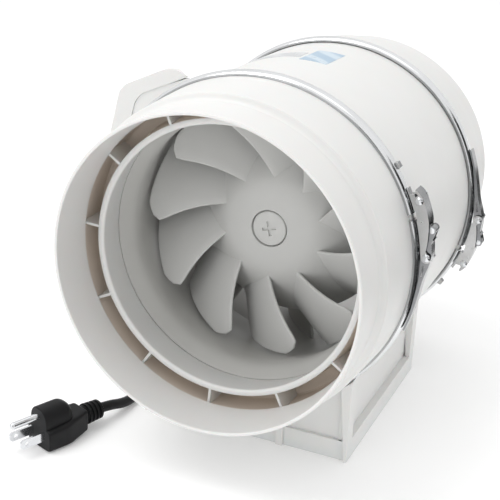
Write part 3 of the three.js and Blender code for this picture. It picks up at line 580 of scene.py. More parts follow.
COLLAR_OUTSIDE = [
    (96.6, -149.0),
    (96.9, -149.7),
    (97.6, -150.0),
    (98.2, -150.0),
    (98.8, -149.6),
    (99.0, -148.9),
    (99.0, -121.8),
    (99.2, -120.7),
    (99.8, -119.7),
    (100.8, -118.8),
    (102.2, -118.2),
    (103.2, -117.9),
    (103.7, -117.3),
    (106.0, -77.8),
    (106.0, -75.9),
    (106.4, -75.2),
    (107.2, -74.7),
    (107.5, -74.2),
    (107.5, -73.0),
]
INLET_INSIDE = [
    (102.9, -73.0),
    (102.9, -77.0),
    (102.6, -88.0),
    (102.2, -89.5),
    (92.5, -89.5),
    (91.0, -88.9),
    (90.2, -88.4),
    (89.6, -88.5),
    (89.3, -89.4),
    (84.6, -112.9),
    (84.3, -114.6),
    (84.5, -115.3),
    (85.2, -115.9),
    (86.0, -116.0),
    (87.6, -116.0),
    (88.2, -115.6),
    (88.4, -114.8),
    (91.1, -93.2),
    (92.2, -92.0),
    (99.4, -92.0),
    (100.3, -93.0),
    (99.7, -114.9),
    (99.2, -115.8),
    (97.2, -116.7),
    (96.6, -117.6),
]
OUTLET_INSIDE = [(102.9, -73.0), (102.9, -100.0), (100.2, -116.0), (98.0, -118.6), (96.6, -121.0)]
INLET_RIBS = 12
INLET_RIB_START = 25.5
RIB_HALF = 0.8
POCKET_FLOOR = -92.0
RIB = [(86.6, -115.4), (100.2, -115.4), (101.0, POCKET_FLOOR + 0.6), (90.4, POCKET_FLOOR + 0.6)]
# Where the ring of pockets gets a painted warm shade, standing in for the shade deep in the
# pockets.
POCKET_SHADE_R = (88.2, 100.4)
POCKET_SHADE_Y = (-115.2, POCKET_FLOOR + 0.1)


def radial_plate_into(bm, outline, degrees, half):
    """A flat [radius, y] outline standing on the duct's axis, of even thickness."""
    angle = math.radians(degrees)
    out = Vector((math.cos(angle), 0, math.sin(angle)))
    side = Vector((-math.sin(angle), 0, math.cos(angle)))
    sections = []
    for offset in (-half, half):
        sections.append([(out * r + side * offset + Vector((0, y, AXIS))) * MM for r, y in outline])
    loft_into(bm, sections)


def make_inlet_collar():
    bm = bmesh.new()
    lathe_into(bm, COLLAR_OUTSIDE + INLET_INSIDE)
    for i in range(INLET_RIBS):
        radial_plate_into(bm, RIB, INLET_RIB_START + i * 360 / INLET_RIBS, RIB_HALF)
    mesh = finish_mesh("inlet_collar", bm)
    first_rib = len(mesh.polygons) - INLET_RIBS * (len(RIB) + 2)

    def in_pocket_shade(face):
        x, y, z = face.center / MM
        inside = POCKET_SHADE_R[0] < math.hypot(x, z - AXIS) < POCKET_SHADE_R[1]
        return inside and POCKET_SHADE_Y[0] < y < POCKET_SHADE_Y[1] and face.index < first_rib

    # The pockets' walls and floor, but not the ribs, get the painted warm shade.
    paint(mesh, in_pocket_shade)
    finish = [WHITE, POCKET_SHADE]
    piece = add_piece(
        "inlet_collar_shell", mesh, "housing", "white_shell", ["inlet_collar"], finish
    )
    add_weighted_normals(piece)


def make_outlet_collar():
    profile = [(r, -y) for r, y in COLLAR_OUTSIDE + rounded(OUTLET_INSIDE, 1.5, closed=False)]
    mesh = lathe("outlet_collar", profile)
    node = "outlet_collar"
    add_weighted_normals(add_piece("outlet_collar_shell", mesh, "housing", "white_shell", [node]))


CASING_END = [
    (105.3, 67.9),
    (105.7, 68.5),
    (107.2, 69.3),
    (107.5, 69.8),
    (107.5, 70.7),
    (107.2, 71.0),
    (102.2, 71.0),
]
GASKET = [(103.3, -0.7), (107.1, -0.7), (107.1, 0.7), (103.3, 0.7)]


def make_casing():
    profile = CASING_END + [(r, -y) for r, y in reversed(CASING_END)]
    mesh = lathe("main_casing", profile)
    add_weighted_normals(add_piece("casing_shell", mesh, "housing", "white_shell", ["main_casing"]))
    for side, name in ((-1, "front"), (1, "rear")):
        mesh = lathe(f"{name}_gasket", [(r, side * BAND_Y + y) for r, y in GASKET])
        add_piece(f"{name}_seal", mesh, "housing", "grey_rubber", [f"{name}_gasket"])


LABEL_R = (105.2, 105.45)
# Each field of the label: its finish, then its stretch round the duct and along it.
LABEL_FIELDS = {
    "label_blue": (LABEL_BLUE, (80.5, 91.0), (-5, 32)),
    "label_grey": (LABEL_GREY, (92.5, 115.0), (3, 20)),
}


def make_label():
    """A printed film on the casing: a blue field and a plain grey bar."""
    under, over = LABEL_R
    for name, (material, (start, end), (y0, y1)) in LABEL_FIELDS.items():
        profile = [(under, y0), (under, y1), (over, y1), (over, y0)]
        mesh = lathe(name, profile, segments=32, start=start, end=end)
        add_piece(name, mesh, "housing", "white_shell", (), [material])


make_inlet_collar()
make_outlet_collar()
make_casing()
make_label()


# ---- inlet nozzle, impeller and guide vanes ----

SHROUD_INSIDE = [
    (89.4, -87.7),
    (87.6, -84.6),
    (85.6, -80.6),
    (84.6, -77.6),
    (84.3, -74.0),
    (84.9, -68.0),
    (86.6, -61.0),
    (89.6, -49.0),
    (93.7, -34.0),
    (97.0, -16.0),
    (98.6, 3.0),
]
SHROUD_FLANGE_Y = (-70.0, -66.6)
SHROUD_FLANGE_R = 101.7
SHROUD_WALL = 2.0


def make_shroud():
    inside = smooth_line(SHROUD_INSIDE, 5)
    outside = [Vector((p.x + SHROUD_WALL, p.y)) for p in inside]
    front = [p for p in outside if p.y < SHROUD_FLANGE_Y[0]]
    rear = [p for p in outside if p.y > SHROUD_FLANGE_Y[1]]
    y0, y1 = SHROUD_FLANGE_Y
    flange = [(SHROUD_FLANGE_R, y1), (SHROUD_FLANGE_R, y0)]
    profile = inside + rear[::-1] + [(rear[0].x, y1), *flange, (front[-1].x, y0)] + front[::-1]
    mesh = lathe("impeller_shroud", profile)
    piece = add_piece("shroud_shell", mesh, "housing", "white_shell", ["impeller_shroud"], [INNER_SHADE])
    add_weighted_normals(piece)


HUB = [
    (12.8, -46.6),
    (22, -46.2),
    (30, -44.8),
    (36, -42.2),
    (43, -37.5),
    (52, -30),
    (62, -20.5),
    (70, -11),
    (72, -6),
]
BLADES_COUNT = 10
BLADE_PHASE = -17.5
BLADE_HALF = 1.1
# From the front edge to the back one: the root's and the tip's radius, and the tip's y.
ROOT_R = (35, 70)
TIP_R = (83.9, 95)
TIP_Y = (-61, -12)
# From root to tip: how far the blade wraps round from front to back, in degrees.
BLADE_WRAP = (26, 38)
BLADE_SWEEP = 25
HUB_BOSS = [(9, -38), (9, -9), (4.5, -9), (4.5, -43.2), (12.6, -43.2), (12.6, -46.2)]
VANES_COUNT = 9
VANE_PHASE = 18
VANE_SWEEP = 22
VANE_ROOT_R = (70.6, 59.8)
VANE_TIP_R = 101.0
VANE_Y = (7, 61)


def mix(a, b, t):
    return a + (b - a) * t


def on_line(points, x):
    for (x0, y0), (x1, y1) in zip(points, points[1:]):
        if x <= x1:
            return mix(y0, y1, (x - x0) / (x1 - x0))
    return points[-1][1]


def blade_point(span, chord):
    """The first blade's middle surface: span runs from hub to tip, chord front to back."""
    corner = 0.16 * max(0, (span - 0.78) / 0.22) ** 2.2
    c = corner + (1 - corner) * chord
    root_r = mix(*ROOT_R, c)
    radius = mix(root_r, mix(*TIP_R, c**0.85), span)
    y = mix(on_line(HUB, root_r), mix(*TIP_Y, c), span)
    wrap = mix(*BLADE_WRAP, max(0, span)) * (1 - (1 - c) ** 2.2)
    x, z = polar(radius, BLADE_PHASE + BLADE_SWEEP * max(0, span) ** 0.85 - wrap)
    return Vector((x, y, z))


def vane_point(span, chord):
    radius = mix(mix(*VANE_ROOT_R, chord**1.4), VANE_TIP_R, span)
    x, z = polar(radius, VANE_PHASE + VANE_SWEEP * (1 - chord) ** 1.8)
    return Vector((x, mix(*VANE_Y, chord), z))


def edge_steps(length, half):
    """A round edge: steps in from it, as a share of a length, with the half thickness there."""
    steps = []
    for k in range(5):
        angle = math.pi / 2 * k / 4
        steps.append((half * (1 - math.cos(angle)) / length, half * math.sin(angle)))
    return steps


def sheet_into(bm, surface, turn, spans, chord_length, span_length, parts=14, round_tip=True):
    """Two skins on either side of a surface, meeting in round edges on its free sides."""
    half = BLADE_HALF
    edge = edge_steps(chord_length, half)
    chords = [(t, h) for t, h in edge]
    first, last = edge[-1][0], 1 - edge[-1][0]
    chords += [(mix(first, last, k / parts), half) for k in range(1, parts)]
    chords += [(1 - t, h) for t, h in reversed(edge)]
    rows = [(s, half) for s in spans]
    if round_tip:
        rows += [(1 - t, h) for t, h in reversed(edge_steps(span_length, half))]
    spin = Matrix.Rotation(-math.radians(turn), 3, "Y")
    step = 1e-3
    skins = []
    for side in (-1, 1):
        skin = []
        for s, row_half in rows:
            line = []
            for c, column_half in chords:
                here = surface(s, c)
                low_s, low_c = min(s, 1 - step), min(max(c, 0), 1 - step)
                along_s = surface(low_s + step, c) - surface(low_s, c)
                along_c = surface(s, low_c + step) - surface(s, low_c)
                normal = along_s.cross(along_c).normalized()
                offset = min(row_half, column_half)
                point = spin @ (here + normal * side * offset) + Vector((0, 0, AXIS))
                line.append(bm.verts.new(point * MM))
            skin.append(line)
        for lower, upper in zip(skin, skin[1:]):
            for j in range(len(chords) - 1):
                quad = (lower[j], lower[j + 1], upper[j + 1], upper[j])
                bm.faces.new(quad if side < 0 else quad[::-1])
        skins.append(skin)
    for row in (0, -1):
        for j in range(len(chords) - 1):
            a, b = skins[0][row], skins[1][row]
            bm.faces.new((a[j], a[j + 1], b[j + 1], b[j]))


def make_impeller():
    hub = smooth_line(HUB, 6)
    underside = [Vector((p.x - 2.2, p.y + 1.8)) for p in hub if p.x > 18]
    bm = bmesh.new()
    lathe_into(bm, hub + underside[::-1] + HUB_BOSS)
    spans = [-0.04] + [k / 12 for k in range(12)] + [0.96]
    for i in range(BLADES_COUNT):
        sheet_into(bm, blade_point, i * 360 / BLADES_COUNT, spans, 75, 48)
    mesh = finish_mesh("impeller", bm)
    add_piece("impeller_wheel", mesh, "rotor", "impeller_plastic", ["impeller"], sharp=50)


CAP_PROFILE = [(0, -46.75), (10.6, -46.6), (11.4, -46.3), (11.8, -45.7), (11.8, -43.6), (0, -43.6)]
CAP_FACE = -46.8
CROSS_TURN = 14
CROSS_SIZE = (10, 3, 2)


def make_cap():
    mesh = lathe("cap", CAP_PROFILE, segments=96)
    node = "impeller_cap_screw"
    piece = add_piece("impeller_cap", mesh, "rotor", "impeller_plastic", [node], [CAP])
    for turn in (CROSS_TURN, CROSS_TURN + 90):
        spin = Matrix.Rotation(-math.radians(turn), 4, "Y")
        place = Matrix.Translation(at_duct(0, CAP_FACE, 0)) @ spin
        boolean(piece, block_mesh("cross", place, CROSS_SIZE), "DIFFERENCE")
    shade(piece.data, 30)


VANE_RING = [(99.85, 5), (101.8, 5), (101.8, 66), (99.85, 66)]
VANE_SLEEVE = [(72, 0), (71.6, 13), (70, 26), (66, 44), (60, 64)]
VANE_DISC = [(13, 8), (69.5, 8), (69.5, 10.6), (13, 10.6)]
TAIL_CONE = [
    (60, 64.4),
    (58.2, 69),
    (55, 73.4),
    (49, 79),
    (42, 83.6),
    (32, 88.2),
    (22, 91),
    (11, 92.3),
    (0.5, 92.6),
]


def make_guide_vanes():
    bm = bmesh.new()
    lathe_into(bm, rounded(VANE_RING, 0.7, 3))
    sleeve = smooth_line(VANE_SLEEVE, 4)
    lathe_into(bm, sleeve + [Vector((p.x - 2.4, p.y)) for p in reversed(sleeve)])
    lathe_into(bm, VANE_DISC)
    spans = [k / 6 for k in range(7)]
    for i in range(VANES_COUNT):
        turn = i * 360 / VANES_COUNT
        sheet_into(bm, vane_point, turn, spans, 58, 36, 12, round_tip=False)
    mesh = finish_mesh("guide_vanes", bm)
    add_piece("guide_vane_ring", mesh, "housing", "white_shell", ["guide_vanes"], [INNER_SHADE], sharp=50)


def make_tail_cone():
    cone = smooth_line(TAIL_CONE)
    inside = [Vector((max(0.5, p.x - 2.2), p.y - 2.2)) for p in cone[4:]]
    mesh = lathe("tail_cone", [*cone, *reversed(inside), Vector((57.8, 64.4))])
    add_piece("tail_fairing", mesh, "housing", "white_shell", ["tail_cone"], [INNER_SHADE], sharp=50)


make_shroud()
make_impeller()
make_cap()
make_guide_vanes()
make_tail_cone()


# ---- clamp bands and latches ----

BAND_HALF = [(106.3, 5.5), (107.3, 5.2), (108.3, 4.3), (109.0, 2.9)]
BAND_OUTSIDE = [(r, -y) for r, y in BAND_HALF] + [(109.3, 0)] + BAND_HALF[::-1]
BAND_WALL = 0.8
BAND_SPLIT = (20.0, 377.8)
BAND_SHADOW_FROM = 5.05
LEVER_PIN = polar(118.4, 14.2)
LINK_PIN = polar(114.2, 6)
HOOK_PIN = polar(115.6, 23.5)
# Stretches along Y, from the band's middle, of the strap and of the lever's and link's cheeks.
STRAP = (-2.4, 2.4)
LEVER_CHEEKS = ((-4, -2.8), (2.8, 4))
LINK_CHEEKS = ((-5.6, -4.4), (4.4, 5.6))
LATCH_SOFT = 0.25
REAR_TURN = Matrix.Rotation(math.radians(-2), 4, "Y") @ Matrix.Rotation(math.pi, 4, "X")


def arc_points(radius, start, end, steps):
    return [polar(radius, mix(start, end, k / steps)) for k in range(steps + 1)]


def round_end(centre, radius, start, end, steps=10):
    return [centre + point for point in arc_points(radius, start, end, steps)]


def smooth_outline(points, parts=4):
    """Polar points joined by a smooth line."""
    return smooth_line([polar(*point) for point in points], parts)


def to_side(mesh, side):
    if side == "rear":
        lift = Matrix.Translation((0, 0, AXIS * MM))
        mesh.transform(lift @ REAR_TURN @ lift.inverted())
    return mesh


def flat_mesh(name, side, outline, y0, y1):
    bm = bmesh.new()
    prism_into(bm, outline, -BAND_Y + y0, -BAND_Y + y1)
    return to_side(finish_mesh(name, bm), side)


def flat_piece(name, side, body, node, layers, cuts=(), face=LATCH):
    """Flat outlines joined along Y about the band's middle, with softened edges; the edges and webs
    get a painted dark reflection.
    """
    first = flat_mesh(name, side, *layers[0])
    piece = add_piece(f"{side}_{name}", first, body, "zinc", [node], [face, LATCH_DARK_REFLECTION], sharp=30)
    for layer in layers[1:]:
        boolean(piece, flat_mesh("layer", side, *layer), "UNION")
    for window in cuts:
        boolean(piece, flat_mesh("window", side, *window), "DIFFERENCE")
    # Edges and webs, which face away from Y, get the painted dark reflection.
    paint(piece.data, lambda face: abs(face.normal.y) < 0.5)
    shade(piece.data, 30)
    add_bevel(piece, LATCH_SOFT)


def pin_piece(name, side, body, node, centre, profile):
    mesh = lathe(name, profile, segments=32, centre=(centre.x, -BAND_Y, centre.y + AXIS))
    add_piece(f"{side}_{name}", to_side(mesh, side), body, "pin_steel", [node])


def domed(reach, head, height, shaft=1.6):
    """Half of a pin's outline: a shank, and a domed head past the plate it holds."""
    angles = [math.pi / 2 * k / 6 for k in range(7)]
    dome = [(head * math.cos(a), reach + height * math.sin(a)) for a in angles]
    dome[-1] = (0, reach + height)
    upper = [(shaft, reach), *dome]
    return [(r, -y) for r, y in reversed(upper)] + upper


def make_band(side):
    outside = smooth_line(BAND_OUTSIDE, 2)
    inside = [Vector((p.x - BAND_WALL, p.y * 0.86)) for p in reversed(outside)]
    profile = [(p.x, p.y - BAND_Y) for p in outside + inside]
    start, end = BAND_SPLIT
    mesh = to_side(lathe("band", profile, segments=240, start=start, end=end), side)
    finish = [ZINC, BAND_EDGE_SHADOW]
    piece = add_piece(f"{side}_clamp_band", mesh, "housing", "zinc", [f"{side}_band"], finish)
    # Faces past this distance from the band's middle get the painted shadow line.
    paint(mesh, lambda face: abs(abs(face.center.y / MM) - BAND_Y) > BAND_SHADOW_FROM)
    add_weighted_normals(piece)


def make_straps(side):
    """The lug that the lever turns on, the hook that the link pulls and the riveted stop."""
    lug = [
        *arc_points(109.5, 8.6, 17.4, 8),
        polar(111, 17.4),
        *round_end(LEVER_PIN, 2.6, 120, -40),
        polar(111, 10.4),
        polar(110.9, 8.6),
    ]
    flat_piece("lug", side, "housing", f"{side}_band_lug", [(lug, *STRAP)])
    hook = [
        *arc_points(109.5, 20.4, 28, 6),
        *arc_points(110.7, 28, 26, 2),
        polar(113.2, 25.6),
        polar(113.2, 22.2),
        polar(116.5, 21.8),
        polar(116.5, 20.6),
    ]
    flat_piece("hook", side, "housing", f"{side}_band_hook", [(hook, *STRAP)])
    stop = [*arc_points(108.6, 34.2, 36.8, 3), polar(111.4, 36.4), polar(111.4, 34.6)]
    flat_piece("stop", side, "housing", f"{side}_band_stop", [(stop, 0.2, 3.6)])


def channel(cheek, web, cheeks):
    """Two cheeks and the web between them, as layers of a flat piece."""
    return [(cheek, *cheeks[0]), (cheek, *cheeks[1]), (web, cheeks[0][0], cheeks[1][1])]


def make_lever(side):
    back = [(117.4, 10.5), (116.9, 6.2), (115.2, 3), (113.2, 0), (111.9, -3.3), (111.3, -8)]
    back.append((111.1, -14))
    cheek = [
        *round_end(LEVER_PIN, 2.7, 110, 0),
        *smooth_outline(back),
        polar(109.9, -14),
        polar(109.9, -2),
        polar(110.2, 5),
        polar(111.4, 9.4),
        *round_end(LEVER_PIN, 2.7, 200, 170, 4),
    ]
    web = smooth_outline([(119, 11.2), *back, (111.1, -20)])
    front = [(109.9, -20), (109.9, -14), (110.2, -8), (110.8, -3.3), (112.1, 0), (114.1, 3)]
    web += smooth_outline([*front, (115.8, 6.2), (116.3, 10.5), (117.6, 11.4)])
    slot = [polar(113.2, 3.2), polar(111.6, 3.2), polar(110.8, -0.8), polar(111.6, -0.8)]
    layers = channel(cheek, web, LEVER_CHEEKS)
    node = f"{side}_latch_lever"
    flat_piece("lever", side, f"{side}_lever", node, layers, [(slot, -6, 6)], LEVER)


def make_link(side):
    back = [(113.9, 8), (115.5, 11), (117.2, 15), (118.1, 17.5), (118.2, 21), (117.9, 24)]
    cheek = [
        *smooth_outline([(112.3, 22.5), (111.1, 17.5), (110.9, 12.4), (110.7, 8)]),
        *round_end(LINK_PIN, 3.3, 190, 340),
        *smooth_outline(back),
        *round_end(HOOK_PIN, 3.2, 60, 190),
    ]
    outer = [(117.9, 16.4), (118.1, 18), (118.2, 21), (117.9, 24.2), (116.9, 26), (115.6, 27)]
    inner = [(114.9, 26.2), (116, 25.3), (116.9, 23.8), (117.1, 21), (117, 18), (116.7, 16.4)]
    web = smooth_outline(outer) + smooth_outline(inner)
    layers = channel(cheek, web, LINK_CHEEKS)
    flat_piece("link", side, f"{side}_link", f"{side}_latch_link", layers)


def make_rivets(side):
    flush = domed(3.95, 2.0, 0.2)
    round_head = domed(5.7, 2.5, 1.0)
    pin_piece("lever_rivet", side, "housing", f"{side}_lever_pin", LEVER_PIN, flush)
    pin_piece("link_rivet", side, f"{side}_lever", f"{side}_link_pin", LINK_PIN, round_head)
    pin_piece("hook_rivet", side, f"{side}_link", f"{side}_hook_pin", HOOK_PIN, round_head)


for side in ("front", "rear"):
    make_band(side)
    make_straps(side)
    make_lever(side)
    make_link(side)
    make_rivets(side)


# ---- terminal box ----

BOX_HALF = 45.0
BOX_OUTER = [
    (-63, 93),
    (-72, 97),
    (-81, 95.5),
    (-110, 82),
    (-114.5, 77),
    (-129, 16),
    (-126, 9),
    (-113.8, 4.9),
]
BOX_OUTER_ROUND = [0.5, 5, 5, 2.5, 2.5, 4, 4, 0.3]
BOX_SEAM = [(-62, 92.4), (-83, 84), (-98, 77), (-102.5, 71.5), (-117, 14), (-113.8, 4.6)]
BOX_SEAM_ROUND = [0.3, 6, 3, 3, 0.8, 0.3]
# The cover takes the seam's rounded bends; its two ends have a few points each of their own.
SEAM_ENDS = 5
BOX_FACE = 166.6
BOX_COVER_EDGE = 1.1
BOX_BASE_EDGE = 0.8
# The base lies a little inside the cover, so that no two faces coincide.
BOX_BASE_INSET = Vector((0.1, -0.04))
BOX_BASE_SHORTER = 0.7
BOX_BASE_BACK = [(-104, 3), (-90, 8), (-50, 60), (-50, 90)]
BOX_SLOPES = [
    {"normal": (-0.05, 0.27, 0.96), "through": (-76, -45, 97.5)},
    {"normal": (0.5, 0.5, 0.7), "through": (-66, -45, 95.3)},
]
SLOPE_TOOL = (300, 300, 100)
CASING_TOOL = [(0, -60), (105.45, -60), (105.45, 60), (0, 60)]
BOX_SCREWS = [(-118.1, 62), (-126.2, 27.6)]
BOX_SCREW_Y = 38.5
SINK = [(0, -2.6), (3.4, -2.6), (3.7, -2.3), (3.7, -0.4), (4.2, 0.6), (4.2, 2), (0, 2)]
SCREW = [(0, -6), (1.5, -6), (1.5, -2.3), (3.2, -2.3), (3.3, -1.4), (2.9, -0.6), (1.8, -0.15)]
SCREW_CROSS = ((1.8, 4, 0.8), (1.8, 0.8, 4))
GLAND = Vector((-116.5, 10, AXIS))
GLAND_SEAT = [(0, -20), (8.4, -20), (8.4, 8.6), (0, 8.6)]
GLAND_COLLAR = [(0, 8), (8, 8), (8, 2.2), (6.8, 2.2), (6.8, -7.2), (5.8, -11.4), (4, -12), (0, -12)]


def box_shell(name, outline, edge, half):
    """A prism across the box's length with rounded rims at both ends."""
    bm = bmesh.new()
    prism_into(bm, outline, -half, half)
    rims = [e for e in bm.edges if abs(e.verts[0].co.y - e.verts[1].co.y) < 1e-6]
    soften(bm, rims, edge, 4)
    return finish_mesh(name, bm)


def slope_box_top(piece, edge=0.0):
    """Cuts the box's top end down to the casing by its sloping faces, and can soften their rims."""
    for slope in BOX_SLOPES:
        normal, through = Vector(slope["normal"]).normalized(), at_duct(*slope["through"])
        turn = Vector((0, 0, 1)).rotation_difference(normal).to_matrix().to_4x4()
        lift = Matrix.Translation((0, 0, SLOPE_TOOL[2] / 2 * MM))
        block = block_mesh("slope", Matrix.Translation(through) @ turn @ lift, SLOPE_TOOL)
        boolean(piece, block, "DIFFERENCE", overlapping=True)
        if not edge:
            continue
        bm = bmesh.new()
        bm.from_mesh(piece.data)
        rim = []
        for e in bm.edges:
            on_slope = all(abs((v.co - through).dot(normal)) < 2e-6 for v in e.verts)
            if on_slope and e.is_manifold and e.calc_face_angle() > math.radians(15):
                rim.append(e)
        soften(bm, rim, edge, 3, clamp_overlap=True)
        bm.to_mesh(piece.data)
        bm.free()


def face_axis():
    x, z = polar(1, BOX_FACE)
    return Vector((x, 0, z))


def screw_places():
    return [(x, y, z) for x, z in BOX_SCREWS for y in (-BOX_SCREW_Y, BOX_SCREW_Y)]


def cut_gland_seat(piece):
    seat = lathe("seat", GLAND_SEAT, segments=48, centre=GLAND, axis=(0, 0, 1))
    boolean(piece, seat, "DIFFERENCE")


def make_box_cover():
    outer = rounded(BOX_OUTER, BOX_OUTER_ROUND)
    seam = rounded(BOX_SEAM, BOX_SEAM_ROUND)
    outline = outer + seam[SEAM_ENDS:-SEAM_ENDS][::-1]
    cover = box_shell("cover", outline, BOX_COVER_EDGE, BOX_HALF)
    node = "terminal_box_cover"
    piece = add_piece("box_cover", cover, "housing", "white_shell", [node], sharp=30)
    slope_box_top(piece, 1.0)
    for x, y, z in screw_places():
        place = (x, y, z + AXIS)
        sink = lathe("sink", SINK, segments=40, centre=place, axis=face_axis())
        boolean(piece, sink, "DIFFERENCE")
    cut_gland_seat(piece)
    shade(piece.data, 30)
    add_weighted_normals(piece)


def make_box_base():
    seam = [point + BOX_BASE_INSET for point in rounded(BOX_SEAM, BOX_SEAM_ROUND)]
    base = box_shell("base", seam + BOX_BASE_BACK, BOX_BASE_EDGE, BOX_HALF - BOX_BASE_SHORTER)
    piece = add_piece("box_base", base, "housing", "white_shell", ["terminal_box"], sharp=30)
    boolean(piece, lathe("casing_tool", CASING_TOOL), "DIFFERENCE")
    cut_gland_seat(piece)
    slope_box_top(piece)
    shade(piece.data, 30)
    add_weighted_normals(piece)


def make_box_screws():
    spin = Matrix.Rotation(-math.radians(BOX_FACE), 4, "Y")
    for number, (x, y, z) in enumerate(screw_places(), 1):
        place = (x, y, z + AXIS)
        mesh = lathe("screw", [*SCREW, (0, 0)], segments=32, centre=place, axis=face_axis())
        node = f"box_screw_{number}"
        piece = add_piece(f"cover_screw_{number}", mesh, "housing", "pin_steel", [node])
        for size in SCREW_CROSS:
            recess = block_mesh("recess", Matrix.Translation(at_duct(x, y, z)) @ spin, size)
            boolean(piece, recess, "DIFFERENCE")
        shade(piece.data, 30)


def hexagon_into(bm, centre, radius, low, high):
    rings = []
    for height, inset in ((low, 0.6), (low + 0.5, 0), (high - 0.5, 0), (high, 0.6)):
        ring = []
        for k in range(6):
            x, y = polar(radius - inset, 60 * k + 30)
            ring.append(Vector((centre.x + x, centre.y + y, centre.z + height)) * MM)
        rings.append(ring)
    loft_into(bm, rings)


def make_gland():
    bm = bmesh.new()
    collar = rounded(GLAND_COLLAR, 0.6, 3)
    lathe_into(bm, collar, segments=64, centre=GLAND, axis=(0, 0, 1))
    hexagon_into(bm, GLAND, 8.6, -6.8, 2.2)
    mesh = finish_mesh("cable_gland", bm)
    add_piece("gland_nut", mesh, "housing", "black_plastic", ["cable_gland"], sharp=28)


RELIEF_END = -45
RELIEF_TOP = -12.35
RELIEF_RIBS = 6
RELIEF_STEP = 4.4
RELIEF_GROOVE = 0.8


def make_strain_relief():
    """A tapered sleeve with grooves round it, so that the cord bends gently."""
    profile = [(0, RELIEF_END), (4.1, RELIEF_END)]
    for k in range(RELIEF_RIBS):
        top = RELIEF_END + 4.5 + RELIEF_STEP * k
        radius = mix(4.2, 5.1, k / (RELIEF_RIBS - 1))
        groove = radius - RELIEF_GROOVE
        profile += [(radius, top - 3), (radius, top - 0.6)]
        profile += [(groove, top - 0.3), (groove, top + 1.1)]
    profile += [(5.2, -15.5), (5.2, RELIEF_TOP), (0, RELIEF_TOP)]
    mesh = lathe("relief", profile, segments=48, centre=GLAND, axis=(0, 0, 1))
    return add_piece("cord_guard", mesh, "housing", "black_rubber", ["cord_strain_relief"])


make_box_cover()
make_box_base()
make_box_screws()
make_gland()
cord_guard = make_strain_relief()


# ---- base ----

BASE_HALF_WIDTH = 75.0
BASE_HALF_DEPTH = 77.5
# The base's hollow top clears the casing by the smaller radius and the bands by the larger.
BASE_GROOVE_R = 110.0
BASE_CASE_R = 105.65
BASE_SILL = 14.0
BASE_FLOOR = 5
BASE_FLOOR_INSET = (0.2, 2.6)
BASE_BORES = 55
BASE_BORE = [(0, -1), (2.6, -1), (2.6, 6), (0, 6)]
SIDE_SILL_X = (67.5, BASE_HALF_WIDTH)
SIDE_SILL_END = BASE_HALF_DEPTH - 2.4
END_SILL_Y = (72, 75)
END_WALL_Y = (69.5, 72.5)
GUSSET_X = 27
GUSSET_HALF = 2.5
GUSSET_Y = (71.1, 77.1)
POST_X = [67.7, 69.5, 71.3, 73.2, 74.95]
POST_FOOT_X = 73
POST_Y = (66.5, 77.45)
SIDE_WALL_X = (67, 70)
SIDE_WALL_HALF = 73.5
SIDE_WALL_STEP = 64
END_SILL_HALF = 70
END_WALL_HALF = 69
# Posts and floor plate stand this much above the floor.
BASE_LIFT = 0.05


def under_arc(x, radius):
    return AXIS - math.sqrt(radius**2 - x**2)


def arch(x0, x1, radius, steps=40):
    """Corners of a wall from the floor up to the round casing above it."""
    xs = [mix(x0, x1, k / steps) for k in range(steps + 1)]
    return [(x0, 0), *[(x, under_arc(x, radius)) for x in xs], (x1, 0)]


def soft_prism_into(bm, outline, y0, y1, edge):
    """A prism along Y, from a flat outline in X and Z, with every sharp edge softened."""
    part = bmesh.new()
    prism_into(part, [(x, z - AXIS) for x, z in outline], y0, y1)
    add_softened(bm, part, edge)


def soft_slab_into(bm, outline, x0, x1, edge):
    """The same along X, from a flat outline in Y and Z."""
    part = bmesh.new()
    loft_into(part, [[Vector((x, y, z)) * MM for y, z in outline] for x in (x0, x1)])
    add_softened(bm, part, edge)


def add_softened(bm, part, edge):
    bmesh.ops.recalc_face_normals(part, faces=part.faces)
    sharp = [e for e in part.edges if e.calc_face_angle(0) > math.radians(30)]
    soften(part, sharp, edge, 2)
    mesh = bpy.data.meshes.new("part")
    part.to_mesh(mesh)
    part.free()
    bm.from_mesh(mesh)
    bpy.data.meshes.remove(mesh)


def both_ways(span, side):
    """A stretch of an axis, mirrored where the side is -1, lowest first."""
    return sorted((side * span[0], side * span[1]))


def side_wall():
    """The wall along the casing's side, in Y and Z: its ends are lower, where the bands pass."""
    end, step = SIDE_WALL_HALF, SIDE_WALL_STEP
    low, high = (under_arc(SIDE_WALL_X[0], radius) for radius in (BASE_GROOVE_R, BASE_CASE_R))
    half = [(end, 0), (end, low), (step, low), (step, high)]
    return [(-end, 0), *half, *[(-y, z) for y, z in reversed(half[1:])]]


def base_end_into(bm, side):
    """The base's front or back end, and its left or right side with it."""
    x0, x1 = both_ways(SIDE_SILL_X, side)
    sill = [(x0, 0), (x1, 0), (x1, BASE_SILL), (x0, BASE_SILL)]
    soft_prism_into(bm, sill, -SIDE_SILL_END, SIDE_SILL_END, 0.3)
    x = END_SILL_HALF
    sill = [(-x, 0), (x, 0), (x, BASE_SILL), (-x, BASE_SILL)]
    soft_prism_into(bm, sill, *both_ways(END_SILL_Y, side), 0.5)
    wall = arch(-END_WALL_HALF, END_WALL_HALF, BASE_GROOVE_R)
    soft_prism_into(bm, wall, *both_ways(END_WALL_Y, side), 0.3)
    for x in (-GUSSET_X, GUSSET_X):
        gusset = arch(x - GUSSET_HALF, x + GUSSET_HALF, BASE_GROOVE_R, 4)
        soft_prism_into(bm, gusset, *both_ways(GUSSET_Y, side), 0.6)
    for across in (-1, 1):
        top = [(across * x, under_arc(x, BASE_GROOVE_R)) for x in POST_X]
        post = [(across * POST_FOOT_X, BASE_LIFT), *top, (across * POST_X[-1], BASE_LIFT)]
        soft_prism_into(bm, post, *both_ways(POST_Y, side), 0.5)
    soft_slab_into(bm, side_wall(), *both_ways(SIDE_WALL_X, side), 0.2)


